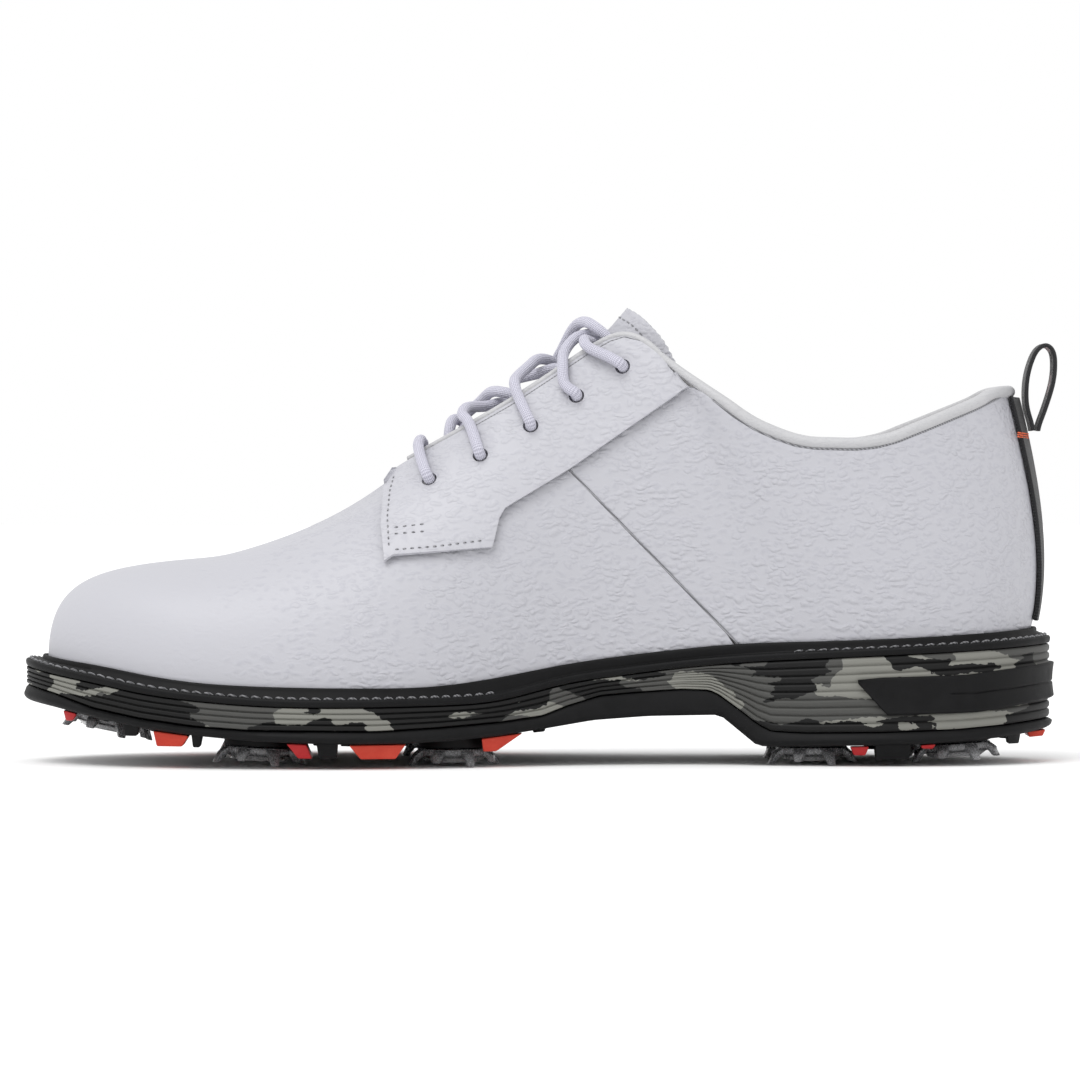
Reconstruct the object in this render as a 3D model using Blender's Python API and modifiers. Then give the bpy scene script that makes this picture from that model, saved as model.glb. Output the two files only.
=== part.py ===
"""A laced golf shoe for the right foot, toe towards -X and sole on z = 0.

The shoe is built the way it is made: an insole board and its shank, an upper of leather
panels over a lining, a welt sewn round it, a midsole, an outsole with moulded lugs, and
nine cleats that twist into receptacles in the outsole. Tables are in millimetres.
"""
import math

import bmesh
import bpy
import numpy as np
from mathutils import Matrix, Vector

MM = 0.001
MEDIAL, LATERAL = -1, 1

for old in list(bpy.data.objects):
    bpy.data.objects.remove(old)

shoe = bpy.data.collections.new("golf_shoe")
cutters = bpy.data.collections.new("cutters")
bpy.context.scene.collection.children.link(shoe)
bpy.context.scene.collection.children.link(cutters)

# ---------------------------------------------------------------- driving dimensions
SHIFT_X = -0.5      # moves the drawing so that the finished shoe is centred on x = 0
SHIFT_Y = 0.36
LEATHER = 1.5       # thickness of vamp and quarters
LINING = 0.8
STIFFENER = 0.7     # toe puff and heel counter
WELT_EDGE = 2.0     # height of the welt's outer edge

# Feather line: where the upper meets the sole, seen from above.
TOE_TIP = (-145.5, -6)
HEEL_BACK = (145, 0.5)
MEDIAL_FEATHER = [(-141, -18), (-130, -30), (-112, -41), (-90, -47.5), (-62, -50), (-38, -46.5), (-15, -37.5),
                  (5, -29.5), (25, -25.5), (45, -25), (65, -27.5), (90, -31.5), (115, -31), (132, -24),
                  (141.5, -12)]
LATERAL_FEATHER = [(-144, 6), (-136, 20), (-121, 33), (-100, 42.5), (-75, 47.5), (-48, 49.5), (-20, 47),
                   (10, 41), (40, 37), (70, 35.5), (95, 35), (115, 32.5), (132, 25), (141.5, 13)]

# Heights along the shoe: (x, z).
MIDSOLE_TOP = [(-153, 28.5), (-142, 26.2), (-130, 24.1), (-116, 21.4), (-100, 19.4), (-83, 18.1), (-47, 17.6),
               (-29, 17.9), (-11, 19.2), (6, 23.2), (24, 26), (42, 28.2), (60, 29.8), (78, 30.9), (107, 32.3),
               (137, 33.9), (153, 34.9)]
UPPER_EDGE = [(-153, 33.2), (-145, 31.5), (-130, 29.4), (-116, 27), (-100, 24.8), (-83, 23.8), (-47, 23.2),
              (-32, 23.5), (-20, 24.7), (-8, 26.6), (6, 29.2), (24, 31.8), (42, 33.9), (60, 35.5), (78, 36.2),
              (107, 37.3), (137, 39), (153, 40.2)]
OUTSOLE_TOP = [(-153, 23.6), (-142, 21.1), (-130, 17.2), (-116, 14.5), (-100, 12.4), (-83, 11.3), (-47, 11),
               (-29, 11.9), (-11, 13.2), (1, 14.8), (8, 17.5), (18, 20.5), (30, 21.5), (42, 22.3), (50, 22),
               (53, 20.5), (60, 15.4), (64, 12.2), (68, 10.2), (78, 9.8), (100, 10.1), (122, 10.8), (138, 12),
               (153, 13.4)]
OUTSOLE_BOTTOM = [(-153, 18.6), (-142, 16.8), (-130, 14.3), (-116, 11.5), (-100, 9.5), (-83, 8), (-60, 7.1),
                  (-40, 7.2), (-25, 7.8), (-12, 8.9), (1, 10.7), (16, 13.1), (32, 14.2), (53, 14.6), (64, 5.6),
                  (70, 5.4), (92, 5.9), (110, 6.2), (122, 7.0), (134, 7.8), (144, 8.9), (153, 10.2)]
PANEL_TOP = [(90, 23.5), (93, 25.2), (100, 25.9), (125, 26.6), (137, 28), (153, 29.6)]
PANEL_BOTTOM = [(90, 23.5), (93, 24.2), (101.5, 14.9), (128, 15.6), (153, 19)]


def natural(points):
    """A smooth curve y(x) through the points of a table: a natural cubic spline."""
    x, y = np.array(points, float).T
    h = np.diff(x)
    rows = np.eye(len(x))
    right = np.zeros(len(x))
    for i in range(1, len(x) - 1):
        rows[i, i - 1:i + 2] = h[i - 1], 2 * (h[i - 1] + h[i]), h[i]
        right[i] = 6 * ((y[i + 1] - y[i]) / h[i] - (y[i] - y[i - 1]) / h[i - 1])
    bend = np.linalg.solve(rows, right)

    def value(at):
        at = np.clip(at, x[0], x[-1])
        k = np.clip(np.searchsorted(x, at, side="right") - 1, 0, len(x) - 2)
        a, b = (x[k + 1] - at) / h[k], (at - x[k]) / h[k]
        curve = (a ** 3 - a) * bend[k] + (b ** 3 - b) * bend[k + 1]
        return a * y[k] + b * y[k + 1] + curve * h[k] ** 2 / 6
    return value


def straight(points):
    """The same for a line with sharp corners."""
    x, y = np.array(points, float).T
    return lambda at: np.interp(at, x, y)


midsole_top, upper_edge = natural(MIDSOLE_TOP), natural(UPPER_EDGE)
outsole_top, outsole_bottom = straight(OUTSOLE_TOP), straight(OUTSOLE_BOTTOM)
panel_top, panel_bottom = straight(PANEL_TOP), straight(PANEL_BOTTOM)


def closed_spline(points, count):
    """count points along a smooth closed curve through the points: a periodic cubic spline."""
    p = np.array(points, float)
    n = len(p)
    after = np.roll(p, -1, axis=0)
    step = np.sqrt(np.linalg.norm(after - p, axis=1))
    rows, right = np.zeros((n, n)), np.zeros((n, 2))
    for i in range(n):
        before, here = step[i - 1], step[i]
        rows[i, i - 1] += before / 6
        rows[i, i] += (before + here) / 3
        rows[i, (i + 1) % n] += here / 6
        right[i] = (after[i] - p[i]) / here - (p[i] - p[i - 1]) / before
    bend = np.linalg.solve(rows, right)
    ends = np.concatenate([[0], np.cumsum(step)])
    at = np.linspace(0, ends[-1], count, endpoint=False)
    k = np.clip(np.searchsorted(ends, at, side="right") - 1, 0, n - 1)
    h = step[k][:, None]
    a = (ends[k + 1] - at)[:, None] / h
    b = 1 - a
    curve = (a ** 3 - a) * bend[k] + (b ** 3 - b) * np.roll(bend, -1, axis=0)[k]
    return a * p[k] + b * after[k] + curve * h * h / 6


ring = closed_spline([TOE_TIP, *MEDIAL_FEATHER, HEEL_BACK, *LATERAL_FEATHER[::-1]], 4000)
heel_at = np.argmin(np.hypot(*(ring - np.array(HEEL_BACK)).T))
FEATHER = {MEDIAL: ring[:heel_at + 1], LATERAL: np.vstack([ring[heel_at:], ring[:1]])[::-1]}
ALONG = {}
for side, line in FEATHER.items():
    length = np.concatenate([[0], np.cumsum(np.linalg.norm(np.diff(line, axis=0), axis=1))])
    ALONG[side] = length / length[-1]


def feather(u, side):
    """(points, outward normals) of the feather line at u, from 0 at the toe tip to 1 at the heel."""
    u = np.asarray(u, float)
    reach = 0.004
    line, along = FEATHER[side], ALONG[side]

    def at(v):
        return np.stack([np.interp(v, along, line[:, 0]), np.interp(v, along, line[:, 1])], -1)
    way = at(np.clip(u + reach, 0, 1)) - at(np.clip(u - reach, 0, 1))
    way = np.where(((u < reach) | (u > 1 - reach))[..., None], way * 0, way)
    ends = np.where((u < 0.5)[..., None], np.array([0.0, side]), np.array([0.0, -side]))
    way = np.where(np.linalg.norm(way, axis=-1, keepdims=True) < 1e-9, ends, way)
    way = way / np.linalg.norm(way, axis=-1, keepdims=True)
    return at(u), np.stack([-way[..., 1], way[..., 0]], -1) * side


# ---------------------------------------------------------------- the last
# Ribs run from the feather line up to the ridge of the foot or, behind the tongue, to a ring
# round the ankle. Each rib is one cubic curve.
RIBS = np.array([
    # u,    x,   mid y, half y, z,   slope, lean, rise, reach, drop, turn
    (0.00, -98, -6.0, 0, 60.4, 0.08, 1.0, 27.5, 35, 0, 0.0),
    (0.10, -95, -6.0, 0, 60.8, 0.09, 2.0, 28.0, 29, 0, 0.0),
    (0.20, -86, -5.5, 0, 63.1, 0.27, 2.5, 27.0, 27, 0, 0.0),
    (0.30, -68, -4.5, 0, 69.6, 0.48, 2.5, 30.0, 26, 0, 0.0),
    (0.40, -45, -3.0, 0, 83.0, 0.66, 3.0, 34.0, 24, 0, 0.0),
    (0.50, -18, -1.5, 0, 105., 0.72, 3.0, 42.0, 23, 0, 0.0),
    (0.60, 5.0, -0.5, 0, 121., 0.64, 4.0, 46.0, 24, 0, 0.1),
    (0.68, 23., 0.0, 0, 131., 0.55, 5.0, 48.0, 26, 2, 0.3),
    (0.74, 42., 0.0, 19, 133., 0.30, 6.0, 42.0, 9, 20, 0.7),
    (0.80, 66., 0.0, 27, 131., 0.00, 6.5, 34.0, 4, 30, 1.0),
    (0.86, 93., 0.5, 29, 127., 0.00, 7.0, 30.0, 3, 30, 1.0),
    (0.92, 117, 0.5, 23, 122., 0.00, 7.0, 27.0, 4, 30, 1.0),
    (0.96, 131, 0.5, 14, 119., 0.00, 7.5, 24.0, 6, 30, 1.0),
    (1.00, 138.5, 0.5, 0, 118., 0.00, 8.0, 22.0, 8.5, 30, 1.0),
])
RIB_CURVES = [natural(RIBS[:, [0, k]]) for k in range(1, RIBS.shape[1])]
UPPER_SEAT = 0.45   # the upper's lower edge stands this far above the midsole


def last_surface(u, t, side):
    """Points on the outside of the upper: u runs toe to heel, t from the feather line up."""
    u, t = np.broadcast_arrays(np.asarray(u, float), np.asarray(t, float))
    x, mid, half, z, slope, lean, rise, reach, drop, turn = [curve(u) for curve in RIB_CURVES]
    half = np.maximum(half, 0)
    half = np.where(u < 0.68, 0, half)
    base, normal = feather(u, side)
    foot = np.concatenate([base, (midsole_top(base[..., 0]) + UPPER_SEAT)[..., None]], -1)
    top = np.stack([x, mid + side * half, z], -1)
    toward = base - top[..., :2]
    toward = toward / np.maximum(np.linalg.norm(toward, axis=-1, keepdims=True), 1e-6)
    turn = np.clip(turn, 0, 1)[..., None]
    way = (1 - turn) * toward + turn * normal
    way = way / np.maximum(np.linalg.norm(way, axis=-1, keepdims=True), 1e-6)
    low = foot + np.concatenate([normal * lean[..., None], rise[..., None]], -1)
    fall = way[..., 0] * reach * slope * (1 - turn[..., 0]) - drop
    high = top + np.concatenate([way * reach[..., None], fall[..., None]], -1)
    s = t[..., None]
    return ((1 - s) ** 3 * foot + 3 * (1 - s) ** 2 * s * low + 3 * (1 - s) * s ** 2 * high + s ** 3 * top)


def beyond(u, t, side):
    """The surface, also a little past the toe, the heel and the ridge, where it is the other side's."""
    over_ridge = (t > 1) & (u < 0.7)
    other = (u < 0) | (u > 1) | over_ridge
    u = np.where(u < 0, -u, np.where(u > 1, 2 - u, u))
    t = np.where(over_ridge, 2 - t, np.clip(t, 0, 1))
    return np.where(other[..., None], last_surface(u, t, -side), last_surface(u, t, side))


def lifted(u, t, side, lift):
    """The surface point moved out along the surface's normal by lift."""
    u, t = np.broadcast_arrays(np.asarray(u, float), np.asarray(t, float))
    du, dt = 0.004, 0.01
    aside = np.where(u < du, np.minimum(t, 0.98), t)      # the toe rib's end is a pole
    along = beyond(u + du, aside, side) - beyond(u - du, aside, side)
    up = beyond(u, aside + dt, side) - beyond(u, aside - dt, side)
    normal = np.cross(along, up) * -side
    size = np.linalg.norm(normal, axis=-1, keepdims=True)
    return last_surface(u, t, side) + normal / np.maximum(size, 1e-9) * np.asarray(lift)[..., None]


# ---------------------------------------------------------------- drawing on the last
def surface_table(side):
    u, t = np.meshgrid(np.linspace(0, 1, 241), np.linspace(0, 1, 121), indexing="ij")
    return u, t, last_surface(u, t, side)


SURFACE = {side: surface_table(side) for side in (MEDIAL, LATERAL)}


def on_last(side, x, z):
    """(u, t) of the point of the surface that is at x, z when it is seen from the side."""
    us, ts, points = SURFACE[side]
    near = np.argmin((points[..., 0] - x) ** 2 + (points[..., 2] - z) ** 2)
    at = np.array([us.flat[near], ts.flat[near]])
    step = 0.002
    for _ in range(8):
        here = last_surface(at[0], at[1], side)[[0, 2]]
        du = (last_surface(at[0] + step, at[1], side)[[0, 2]] - here) / step
        dt = (last_surface(at[0], at[1] + step, side)[[0, 2]] - here) / step
        slope = np.stack([du, dt], 1)
        move = np.linalg.lstsq(slope.T @ slope + np.eye(2), slope.T @ ([x, z] - here), rcond=None)[0]
        at = np.clip(at + np.clip(move, -0.05, 0.05), 0, 0.999)
    return at


def spaced(points, count):
    """count points evenly spaced along a polyline."""
    p = np.array(points, float)
    along = np.concatenate([[0], np.cumsum(np.linalg.norm(np.diff(p, axis=0), axis=1))])
    at = np.linspace(0, along[-1], count)
    return np.stack([np.interp(at, along, p[:, k]) for k in range(p.shape[1])], 1)


def smooth_line(points, count):
    """count points along a smooth open curve through the points."""
    p = np.array(points, float)
    along = np.concatenate([[0], np.cumsum(np.sqrt(np.linalg.norm(np.diff(p, axis=0), axis=1)))])
    at = np.linspace(0, along[-1], 12 * len(p))
    fine = np.stack([natural(np.column_stack([along, p[:, k]]))(at) for k in range(p.shape[1])], 1)
    return spaced(fine, count)


def drawn(side, points, count):
    """count (u, t) points along an outline drawn in side view."""
    return np.array([on_last(side, x, z) for x, z in spaced(points, count)])


def run(start, end, count):
    """count (u, t) points straight from start to end."""
    return np.linspace(start, end, count)


def coons(bottom, top, left, right):
    """The patch between four edges: bottom and top run left to right, left and right run upwards."""
    w = np.linspace(0, 1, len(bottom))[:, None, None]
    v = np.linspace(0, 1, len(left))[None, :, None]
    flat = (1 - v) * bottom[:, None] + v * top[:, None] + (1 - w) * left[None] + w * right[None]
    corners = ((1 - w) * (1 - v) * bottom[0] + w * (1 - v) * bottom[-1]
               + (1 - w) * v * top[0] + w * v * top[-1])
    return flat - corners


# ---------------------------------------------------------------- materials and objects
def material(name, color, roughness, metallic=0.0):
    made = bpy.data.materials.new(name)
    made.use_nodes = True
    shader = made.node_tree.nodes["Principled BSDF"]
    shader.inputs["Base Color"].default_value = (*color, 1)
    shader.inputs["Roughness"].default_value = roughness
    shader.inputs["Metallic"].default_value = metallic
    return made


WHITE_LEATHER = material("white_leather", (0.78, 0.78, 0.80), 0.5)
LINING_LEATHER = material("lining_leather", (0.62, 0.60, 0.58), 0.7)
FIBRE_BOARD = material("fibre_board", (0.45, 0.33, 0.22), 0.8)
BLACK_RUBBER = material("black_rubber", (0.03, 0.03, 0.033), 0.6)
CAMO_FOAM = material("grey_midsole", (0.22, 0.22, 0.21), 0.6)
RED_RUBBER = material("red_rubber", (0.72, 0.10, 0.06), 0.45)
THREAD = material("grey_thread", (0.35, 0.35, 0.35), 0.8)
LACE = material("white_lace", (0.80, 0.80, 0.84), 0.8)
SMOKED_PLASTIC = material("smoked_plastic", (0.30, 0.30, 0.30), 0.2)
STEEL = material("spring_steel", (0.55, 0.56, 0.58), 0.3, 1.0)
WEBBING = material("black_webbing", (0.03, 0.03, 0.035), 0.8)


def placed(points):
    """Points in millimetres of the drawing, in metres of the finished shoe."""
    return (np.asarray(points, float).reshape(-1, 3) + (SHIFT_X, SHIFT_Y, 0)) * MM


def add_object(name, mesh, finish, collection=shoe):
    part = bpy.data.objects.new(name, mesh)
    mesh.materials.clear()
    if finish:
        mesh.materials.append(finish)
    collection.objects.link(part)
    return part


def mesh_of(name, points, faces):
    mesh = bpy.data.meshes.new(name)
    mesh.from_pydata([tuple(p) for p in placed(points)], [], [tuple(int(i) for i in f) for f in faces])
    return mesh


def grid_faces(rows, columns, first=0, flip=False):
    faces = []
    for i in range(rows - 1):
        for j in range(columns - 1):
            a = first + i * columns + j
            face = (a, a + columns, a + columns + 1, a + 1)
            faces.append(face[::-1] if flip else face)
    return faces


def weld(mesh, within=0.004):
    work = bmesh.new()
    work.from_mesh(mesh)
    bmesh.ops.remove_doubles(work, verts=work.verts, dist=within * MM)
    bmesh.ops.dissolve_degenerate(work, edges=work.edges, dist=within * MM)
    work.to_mesh(mesh)
    work.free()


def leather(name, halves, lift, thickness, finish):
    """A panel on the last: halves is a list of (side, (u, t) patch), joined where they meet."""
    points, faces = [], []
    for side, patch in halves:
        u, t = patch[..., 0], patch[..., 1]
        depth = lift(u) if callable(lift) else np.full(u.shape, lift)
        spots = lifted(u, t, side, depth)
        first = sum(len(p) for p in points)
        middle = tuple(n // 2 for n in u.shape)
        a, b, c = spots[middle], spots[middle[0] + 1, middle[1]], spots[middle[0], middle[1] + 1]
        out = lifted(u[middle], t[middle], side, 5.0) - lifted(u[middle], t[middle], side, 0.0)
        points.append(spots.reshape(-1, 3))
        faces += grid_faces(*u.shape, first, np.dot(np.cross(b - a, c - a), out) < 0)
    mesh = mesh_of(name, np.vstack(points), faces)
    weld(mesh)
    part = add_object(name, mesh, finish)
    wall = part.modifiers.new("thickness", "SOLIDIFY")
    wall.thickness = thickness * MM
    wall.offset = -1
    mesh.shade_smooth()
    return part


def both(patch_for):
    return [(side, patch_for(side)) for side in (MEDIAL, LATERAL)]


# ---------------------------------------------------------------- upper
SEAM = [(6.0, 89.4), (57.4, 36.2), (60.8, 31)]       # between vamp and quarter
FACING_FOOT = [(-45, 58.9), (-42.7, 60.6), (-14, 63.4)]
FACING_REAR = [(-14, 63.4), (-13.4, 65.5), (-12.5, 69), (-11.7, 72.1), (-10.1, 74.7), (-6.6, 76.9),
               (9.4, 86.6), (44.9, 111)]
FACING_TOP = [(44.9, 111), (43.6, 112.3), (35.3, 120.7), (30, 124.3), (24.9, 126.2)]
FACING_EDGE = [(24.9, 126.2), (20.4, 125.2), (15.2, 122.3), (4.3, 114.9), (-9.2, 105.9), (-22.1, 98.2),
               (-38.1, 89.1), (-41.7, 86.9), (-43.1, 84.7)]
FACING_FRONT = [(-43.1, 84.7), (-44.8, 79.9), (-45.9, 69), (-45, 58.9)]
TOPLINE = [(50.9, 107.0), (56.8, 102.2), (62.8, 98.4), (68.7, 95.7), (74.7, 93.6), (80.6, 92.7), (92.5, 92.4),
           (98.5, 93.0), (104.4, 94.5), (116.3, 99.2), (128.2, 104), (137.5, 108.5)]
THROAT = [(-39.5, 80.5), (-30, 76.5), (-18, 77), (-8, 83), (2, 88.6)]
EYELETS = [(-32.4, 83.6), (-17.7, 91), (-3.2, 99.8), (10.4, 108.7), (24.3, 117.5)]
EYELET_HOLE = 5.6
FACING_LIFT = 2.25
FACING_THICK = 1.2
BACK_SEAM = 0.9982     # u where each quarter ends at the back seam
RIDGE_END = 0.408     # u where the vamp stops on the ridge, at the foot of the tongue


def trimmed(line, dx, dz=0.0):
    return [(x + dx, z + dz) for x, z in line]


def vamp_patch(side, columns=14, rows=8, pull=0.0):
    seam = trimmed(SEAM, -0.4 - pull)
    seam_base = on_last(side, *seam[-1])[0]
    throat = np.vstack([run((RIDGE_END - pull * 0.004, 1), on_last(side, *THROAT[0]), 2)[:-1],
                        drawn(side, trimmed(THROAT, -pull, -pull) + [seam[0]], rows)])
    seam_side = np.vstack([drawn(side, seam[:2], rows)[:-1], [(seam_base, 0)]])
    right = np.vstack([throat[:-1], seam_side])
    left = run((0, 1), (0, 0), len(right))
    bottom = run((0, 1), (RIDGE_END - pull * 0.004, 1), columns)
    top = run((0, 0), (seam_base, 0), columns)
    return coons(bottom, top, left, right)


def quarter_patch(side, columns=14, rows=8, pull=0.0, heel=1.0):
    seam = trimmed(SEAM, 0.3 + pull)
    seam_base = on_last(side, *seam[-1])[0]
    back = on_last(side, 140.6, 108.2)
    left = np.vstack([[(seam_base, 0)], drawn(side, seam[1::-1], rows - 1)])
    line = [seam[0], (42.6, 111.4), (46.5, 110.2)] + TOPLINE
    top = np.vstack([drawn(side, line, columns - 1), [(heel, back[1])]])
    bottom = run((seam_base, 0), (heel, 0), columns)
    right = run((heel, 0), (heel, back[1]), rows)
    return coons(bottom, top, left, right)


def facing_patch(side, rows=5):
    bottom = np.vstack([drawn(side, FACING_FOOT, 6)[:-1], drawn(side, FACING_REAR, 14)])
    edge = trimmed(FACING_EDGE, 0.9, -1.3)
    top = drawn(side, edge[::-1], len(bottom))
    left = drawn(side, FACING_FRONT[:0:-1] + edge[-1:], rows)
    right = drawn(side, FACING_TOP[:-1] + edge[:1], rows)
    return coons(bottom, top, left, right)


def lining_lift(u):
    """The lining lies behind the toe puff and the heel counter, and next to the leather between them."""
    toe = np.clip((0.32 - u) / 0.10, 0, 1)
    heel = np.clip((u - 0.68) / 0.08, 0, 1)
    return -2.5 - 2.2 * np.maximum(toe, heel)


leather("vamp", both(vamp_patch), 0.0, LEATHER, WHITE_LEATHER)
for side, word in ((MEDIAL, "medial"), (LATERAL, "lateral")):
    leather("quarter_" + word, [(side, quarter_patch(side, heel=BACK_SEAM))], 0.0, LEATHER, WHITE_LEATHER)
    leather("facing_" + word, [(side, facing_patch(side))], FACING_LIFT, FACING_THICK, WHITE_LEATHER)
leather("vamp_lining", both(lambda side: vamp_patch(side, 12, 6, 2.0)), lining_lift, LINING, LINING_LEATHER)
leather("quarter_lining", both(lambda side: quarter_patch(side, 12, 6, 2.0)), lining_lift, LINING, LINING_LEATHER)


def toe_puff_patch(side):
    edge = 0.17
    rows = 9
    return coons(run((0, 1), (edge, 1), 7), run((0, 0.04), (edge, 0.04), 7), run((0, 1), (0, 0.04), rows),
                 run((edge, 1), (edge, 0.04), rows))


def counter_patch(side):
    front = 0.80
    top = drawn(side, [(88, 78), (110, 84), (128, 90), (143, 96)], 9)
    top = np.vstack([top[:-1], [(1, top[-1, 1])]])
    start = top[0]
    return coons(run((front, 0.04), (1, 0.04), 9), top, run((front, 0.04), start, 5), run((1, 0.04), top[-1], 5))


leather("toe_puff", both(toe_puff_patch), -3.0, STIFFENER, FIBRE_BOARD)
leather("heel_counter", both(counter_patch), -2.8, STIFFENER, FIBRE_BOARD)


# The black strip that covers the back seam, from the welt to the pull loop.
STRIP_HALF = 5.5
STRIP_HEIGHTS = [(144.4, 43.4), (145.5, 48), (147.5, 55), (148.5, 66), (147.5, 80), (145.5, 92), (141.8, 105),
                 (140.9, 107.6)]


def strip_patch(side):
    at_back = np.array([(1, on_last(side, x, z)[1]) for x, z in STRIP_HEIGHTS])
    inner = []
    for u, t in at_back:
        ribs = np.linspace(0.93, 1, 60)
        y = last_surface(ribs, np.full(60, t), side)[:, 1] * side
        inner.append((np.interp(-STRIP_HALF, -y, ribs), t))
    inner = np.array(inner)
    return coons(run(inner[0], at_back[0], 3), run(inner[-1], at_back[-1], 3), inner, at_back)


leather("heel_strip", both(strip_patch), 1.7, 1.3, WEBBING)


# ---------------------------------------------------------------- tongue
TONGUE = [(-52, 20), (-40, 21), (-22, 21.5), (-4, 20), (10, 18)]      # (x, half width) on the last
# The free end stands up off the last; its edge, from the middle to one side.
TONGUE_END = [(26, 0, 134.3), (28.8, 4.8, 132.6), (32.2, 8.6, 129.4), (36, 11.4, 125), (41.5, 14.6, 115)]
TONGUE_LIFT = -5.7
TONGUE_THICK = 2.6


def seen_from_above(side, x, y):
    """(u, t) of the point of the surface at x, y."""
    us, ts, points = SURFACE[side]
    near = np.argmin((points[..., 0] - x) ** 2 + (points[..., 1] - y) ** 2 - points[..., 2] * 0.001)
    return us.flat[near], ts.flat[near]


def tongue():
    """A padded tongue under the facings: rows run across it, from its root to its free end."""
    across = np.linspace(-1, 1, 11)
    rows = []
    for x, half in spaced(TONGUE, 9):
        spots = [(w, *seen_from_above(MEDIAL if w < 0 else LATERAL, x, w * half)) for w in across]
        rows.append([lifted(u, t, MEDIAL if w < 0 else LATERAL, TONGUE_LIFT) for w, u, t in spots])
    side_end = smooth_line(TONGUE_END, 6)
    end = np.vstack([side_end[:0:-1] * (1, -1, 1), side_end])
    for share in (0.25, 0.5, 0.75, 1.0):
        rows.append(np.array(rows[8]) * (1 - share) + end * share)
    mesh = mesh_of("tongue", np.vstack(rows), grid_faces(len(rows), len(across)))
    part = add_object("tongue", mesh, WHITE_LEATHER)
    wall = part.modifiers.new("thickness", "SOLIDIFY")
    wall.thickness = TONGUE_THICK * MM
    wall.offset = -1
    mesh.shade_smooth()
    return part


tongue()


# ---------------------------------------------------------------- collar
def topline_path(side, lift, rise, count=22):
    """Points above the top edge of the quarters, from the facing to the heel."""
    line = [(49.2, 108.9)] + TOPLINE
    spots = drawn(side, line, count)
    spots = np.vstack([spots, [(1, on_last(side, 140.6, 108.2)[1])]])
    path = lifted(spots[:, 0], spots[:, 1], side, np.full(len(spots), lift))
    return path + (0, 0, rise)


def tube(name, points, radius, finish, cyclic=False, sides=2):
    """A round tube through the points, given in millimetres of the drawing."""
    curve = bpy.data.curves.new(name, "CURVE")
    curve.dimensions = "3D"
    line = curve.splines.new("POLY")
    spots = placed(points)
    line.points.add(len(spots) - 1)
    for point, spot in zip(line.points, spots):
        point.co = (*spot, 1)
    line.use_cyclic_u = cyclic
    curve.bevel_depth = radius * MM
    curve.bevel_resolution = sides
    curve.use_fill_caps = not cyclic
    part = bpy.data.objects.new(name, curve)
    curve.materials.append(finish)
    shoe.objects.link(part)
    return part


ahead, behind = topline_path(MEDIAL, -1.7, 2.9), topline_path(LATERAL, -1.7, 2.9)
tube("collar_binding", np.vstack([ahead, behind[-2::-1]]), 1.8, WHITE_LEATHER)


# ---------------------------------------------------------------- sole
STATIONS = 48
WELT_OUT = {
    MEDIAL: natural([(0, 6.5), (0.1, 6), (0.2, 5.3), (0.35, 5.2), (0.45, 4.3), (0.55, 3.4), (0.68, 3.4),
                     (0.76, 4.5), (0.9, 5), (0.96, 6), (1, 7)]),
    LATERAL: natural([(0, 6.5), (0.1, 6), (0.2, 5.3), (0.45, 5), (0.6, 4.6), (0.8, 4.6), (0.92, 5), (1, 7)]),
}


def rim(us, side, out, height):
    """Points round the sole: out from the feather line, or from the welt's edge if out is a pair."""
    base, normal = feather(us, side)
    from_edge, extra = out if isinstance(out, tuple) else (False, out)
    reach = (WELT_OUT[side](us) if from_edge else 0) + extra
    plan = base + normal * np.broadcast_to(reach, us.shape)[:, None]
    z = height(plan[:, 0]) if callable(height) else np.full(len(us), float(height))
    return np.column_stack([plan, z])


def whole_rim(us, out, height):
    """The closed rim: medial side toe to heel, then back along the lateral side."""
    there, back = rim(us, MEDIAL, out, height), rim(us, LATERAL, out, height)
    return np.vstack([there, back[-2:0:-1]])


def plate(name, rings, finish, collection=shoe, us=None):
    """A closed solid from rims, top to bottom, closed above and below by rungs across the sole."""
    us = np.linspace(0, 1, STATIONS + 1) if us is None else us
    loops = [whole_rim(us, out, height) for out, height in rings]
    size = len(loops[0])
    faces = []
    for k in range(len(loops) - 1):
        for i in range(size):
            j = (i + 1) % size
            faces.append((k * size + i, (k + 1) * size + i, (k + 1) * size + j, k * size + j))
    last = (len(loops) - 1) * size
    for i in range(STATIONS):
        a, b = i, i + 1
        c, d = (size - b) % size, (size - a) % size
        if a == 0:
            top = (a, b, c)
        elif b == size - b:
            top = (a, b, d)
        else:
            top = (a, b, c, d)
        faces.append(top)
        faces.append(tuple(last + i for i in reversed(top)))
    mesh = mesh_of(name, np.vstack(loops), faces)
    return add_object(name, mesh, finish, collection)


def above(height, rise):
    return lambda x: height(x) + rise


EDGE = True
plate("midsole", [((EDGE, -0.6), above(midsole_top, 0)), ((EDGE, 0.0), above(midsole_top, -0.8)),
                  ((EDGE, 0.0), above(outsole_top, 0.5)), ((EDGE, -0.4), above(outsole_top, 0))], CAMO_FOAM)
plate("insole_board", [(-7.0, above(midsole_top, 4.4)), (-7.0, above(midsole_top, 2.4))], FIBRE_BOARD)
plate("footbed", [(-9.0, above(midsole_top, 9.6)), (-7.6, above(midsole_top, 8.6)),
                  (-7.0, above(midsole_top, 4.9))], LINING_LEATHER)


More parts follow.
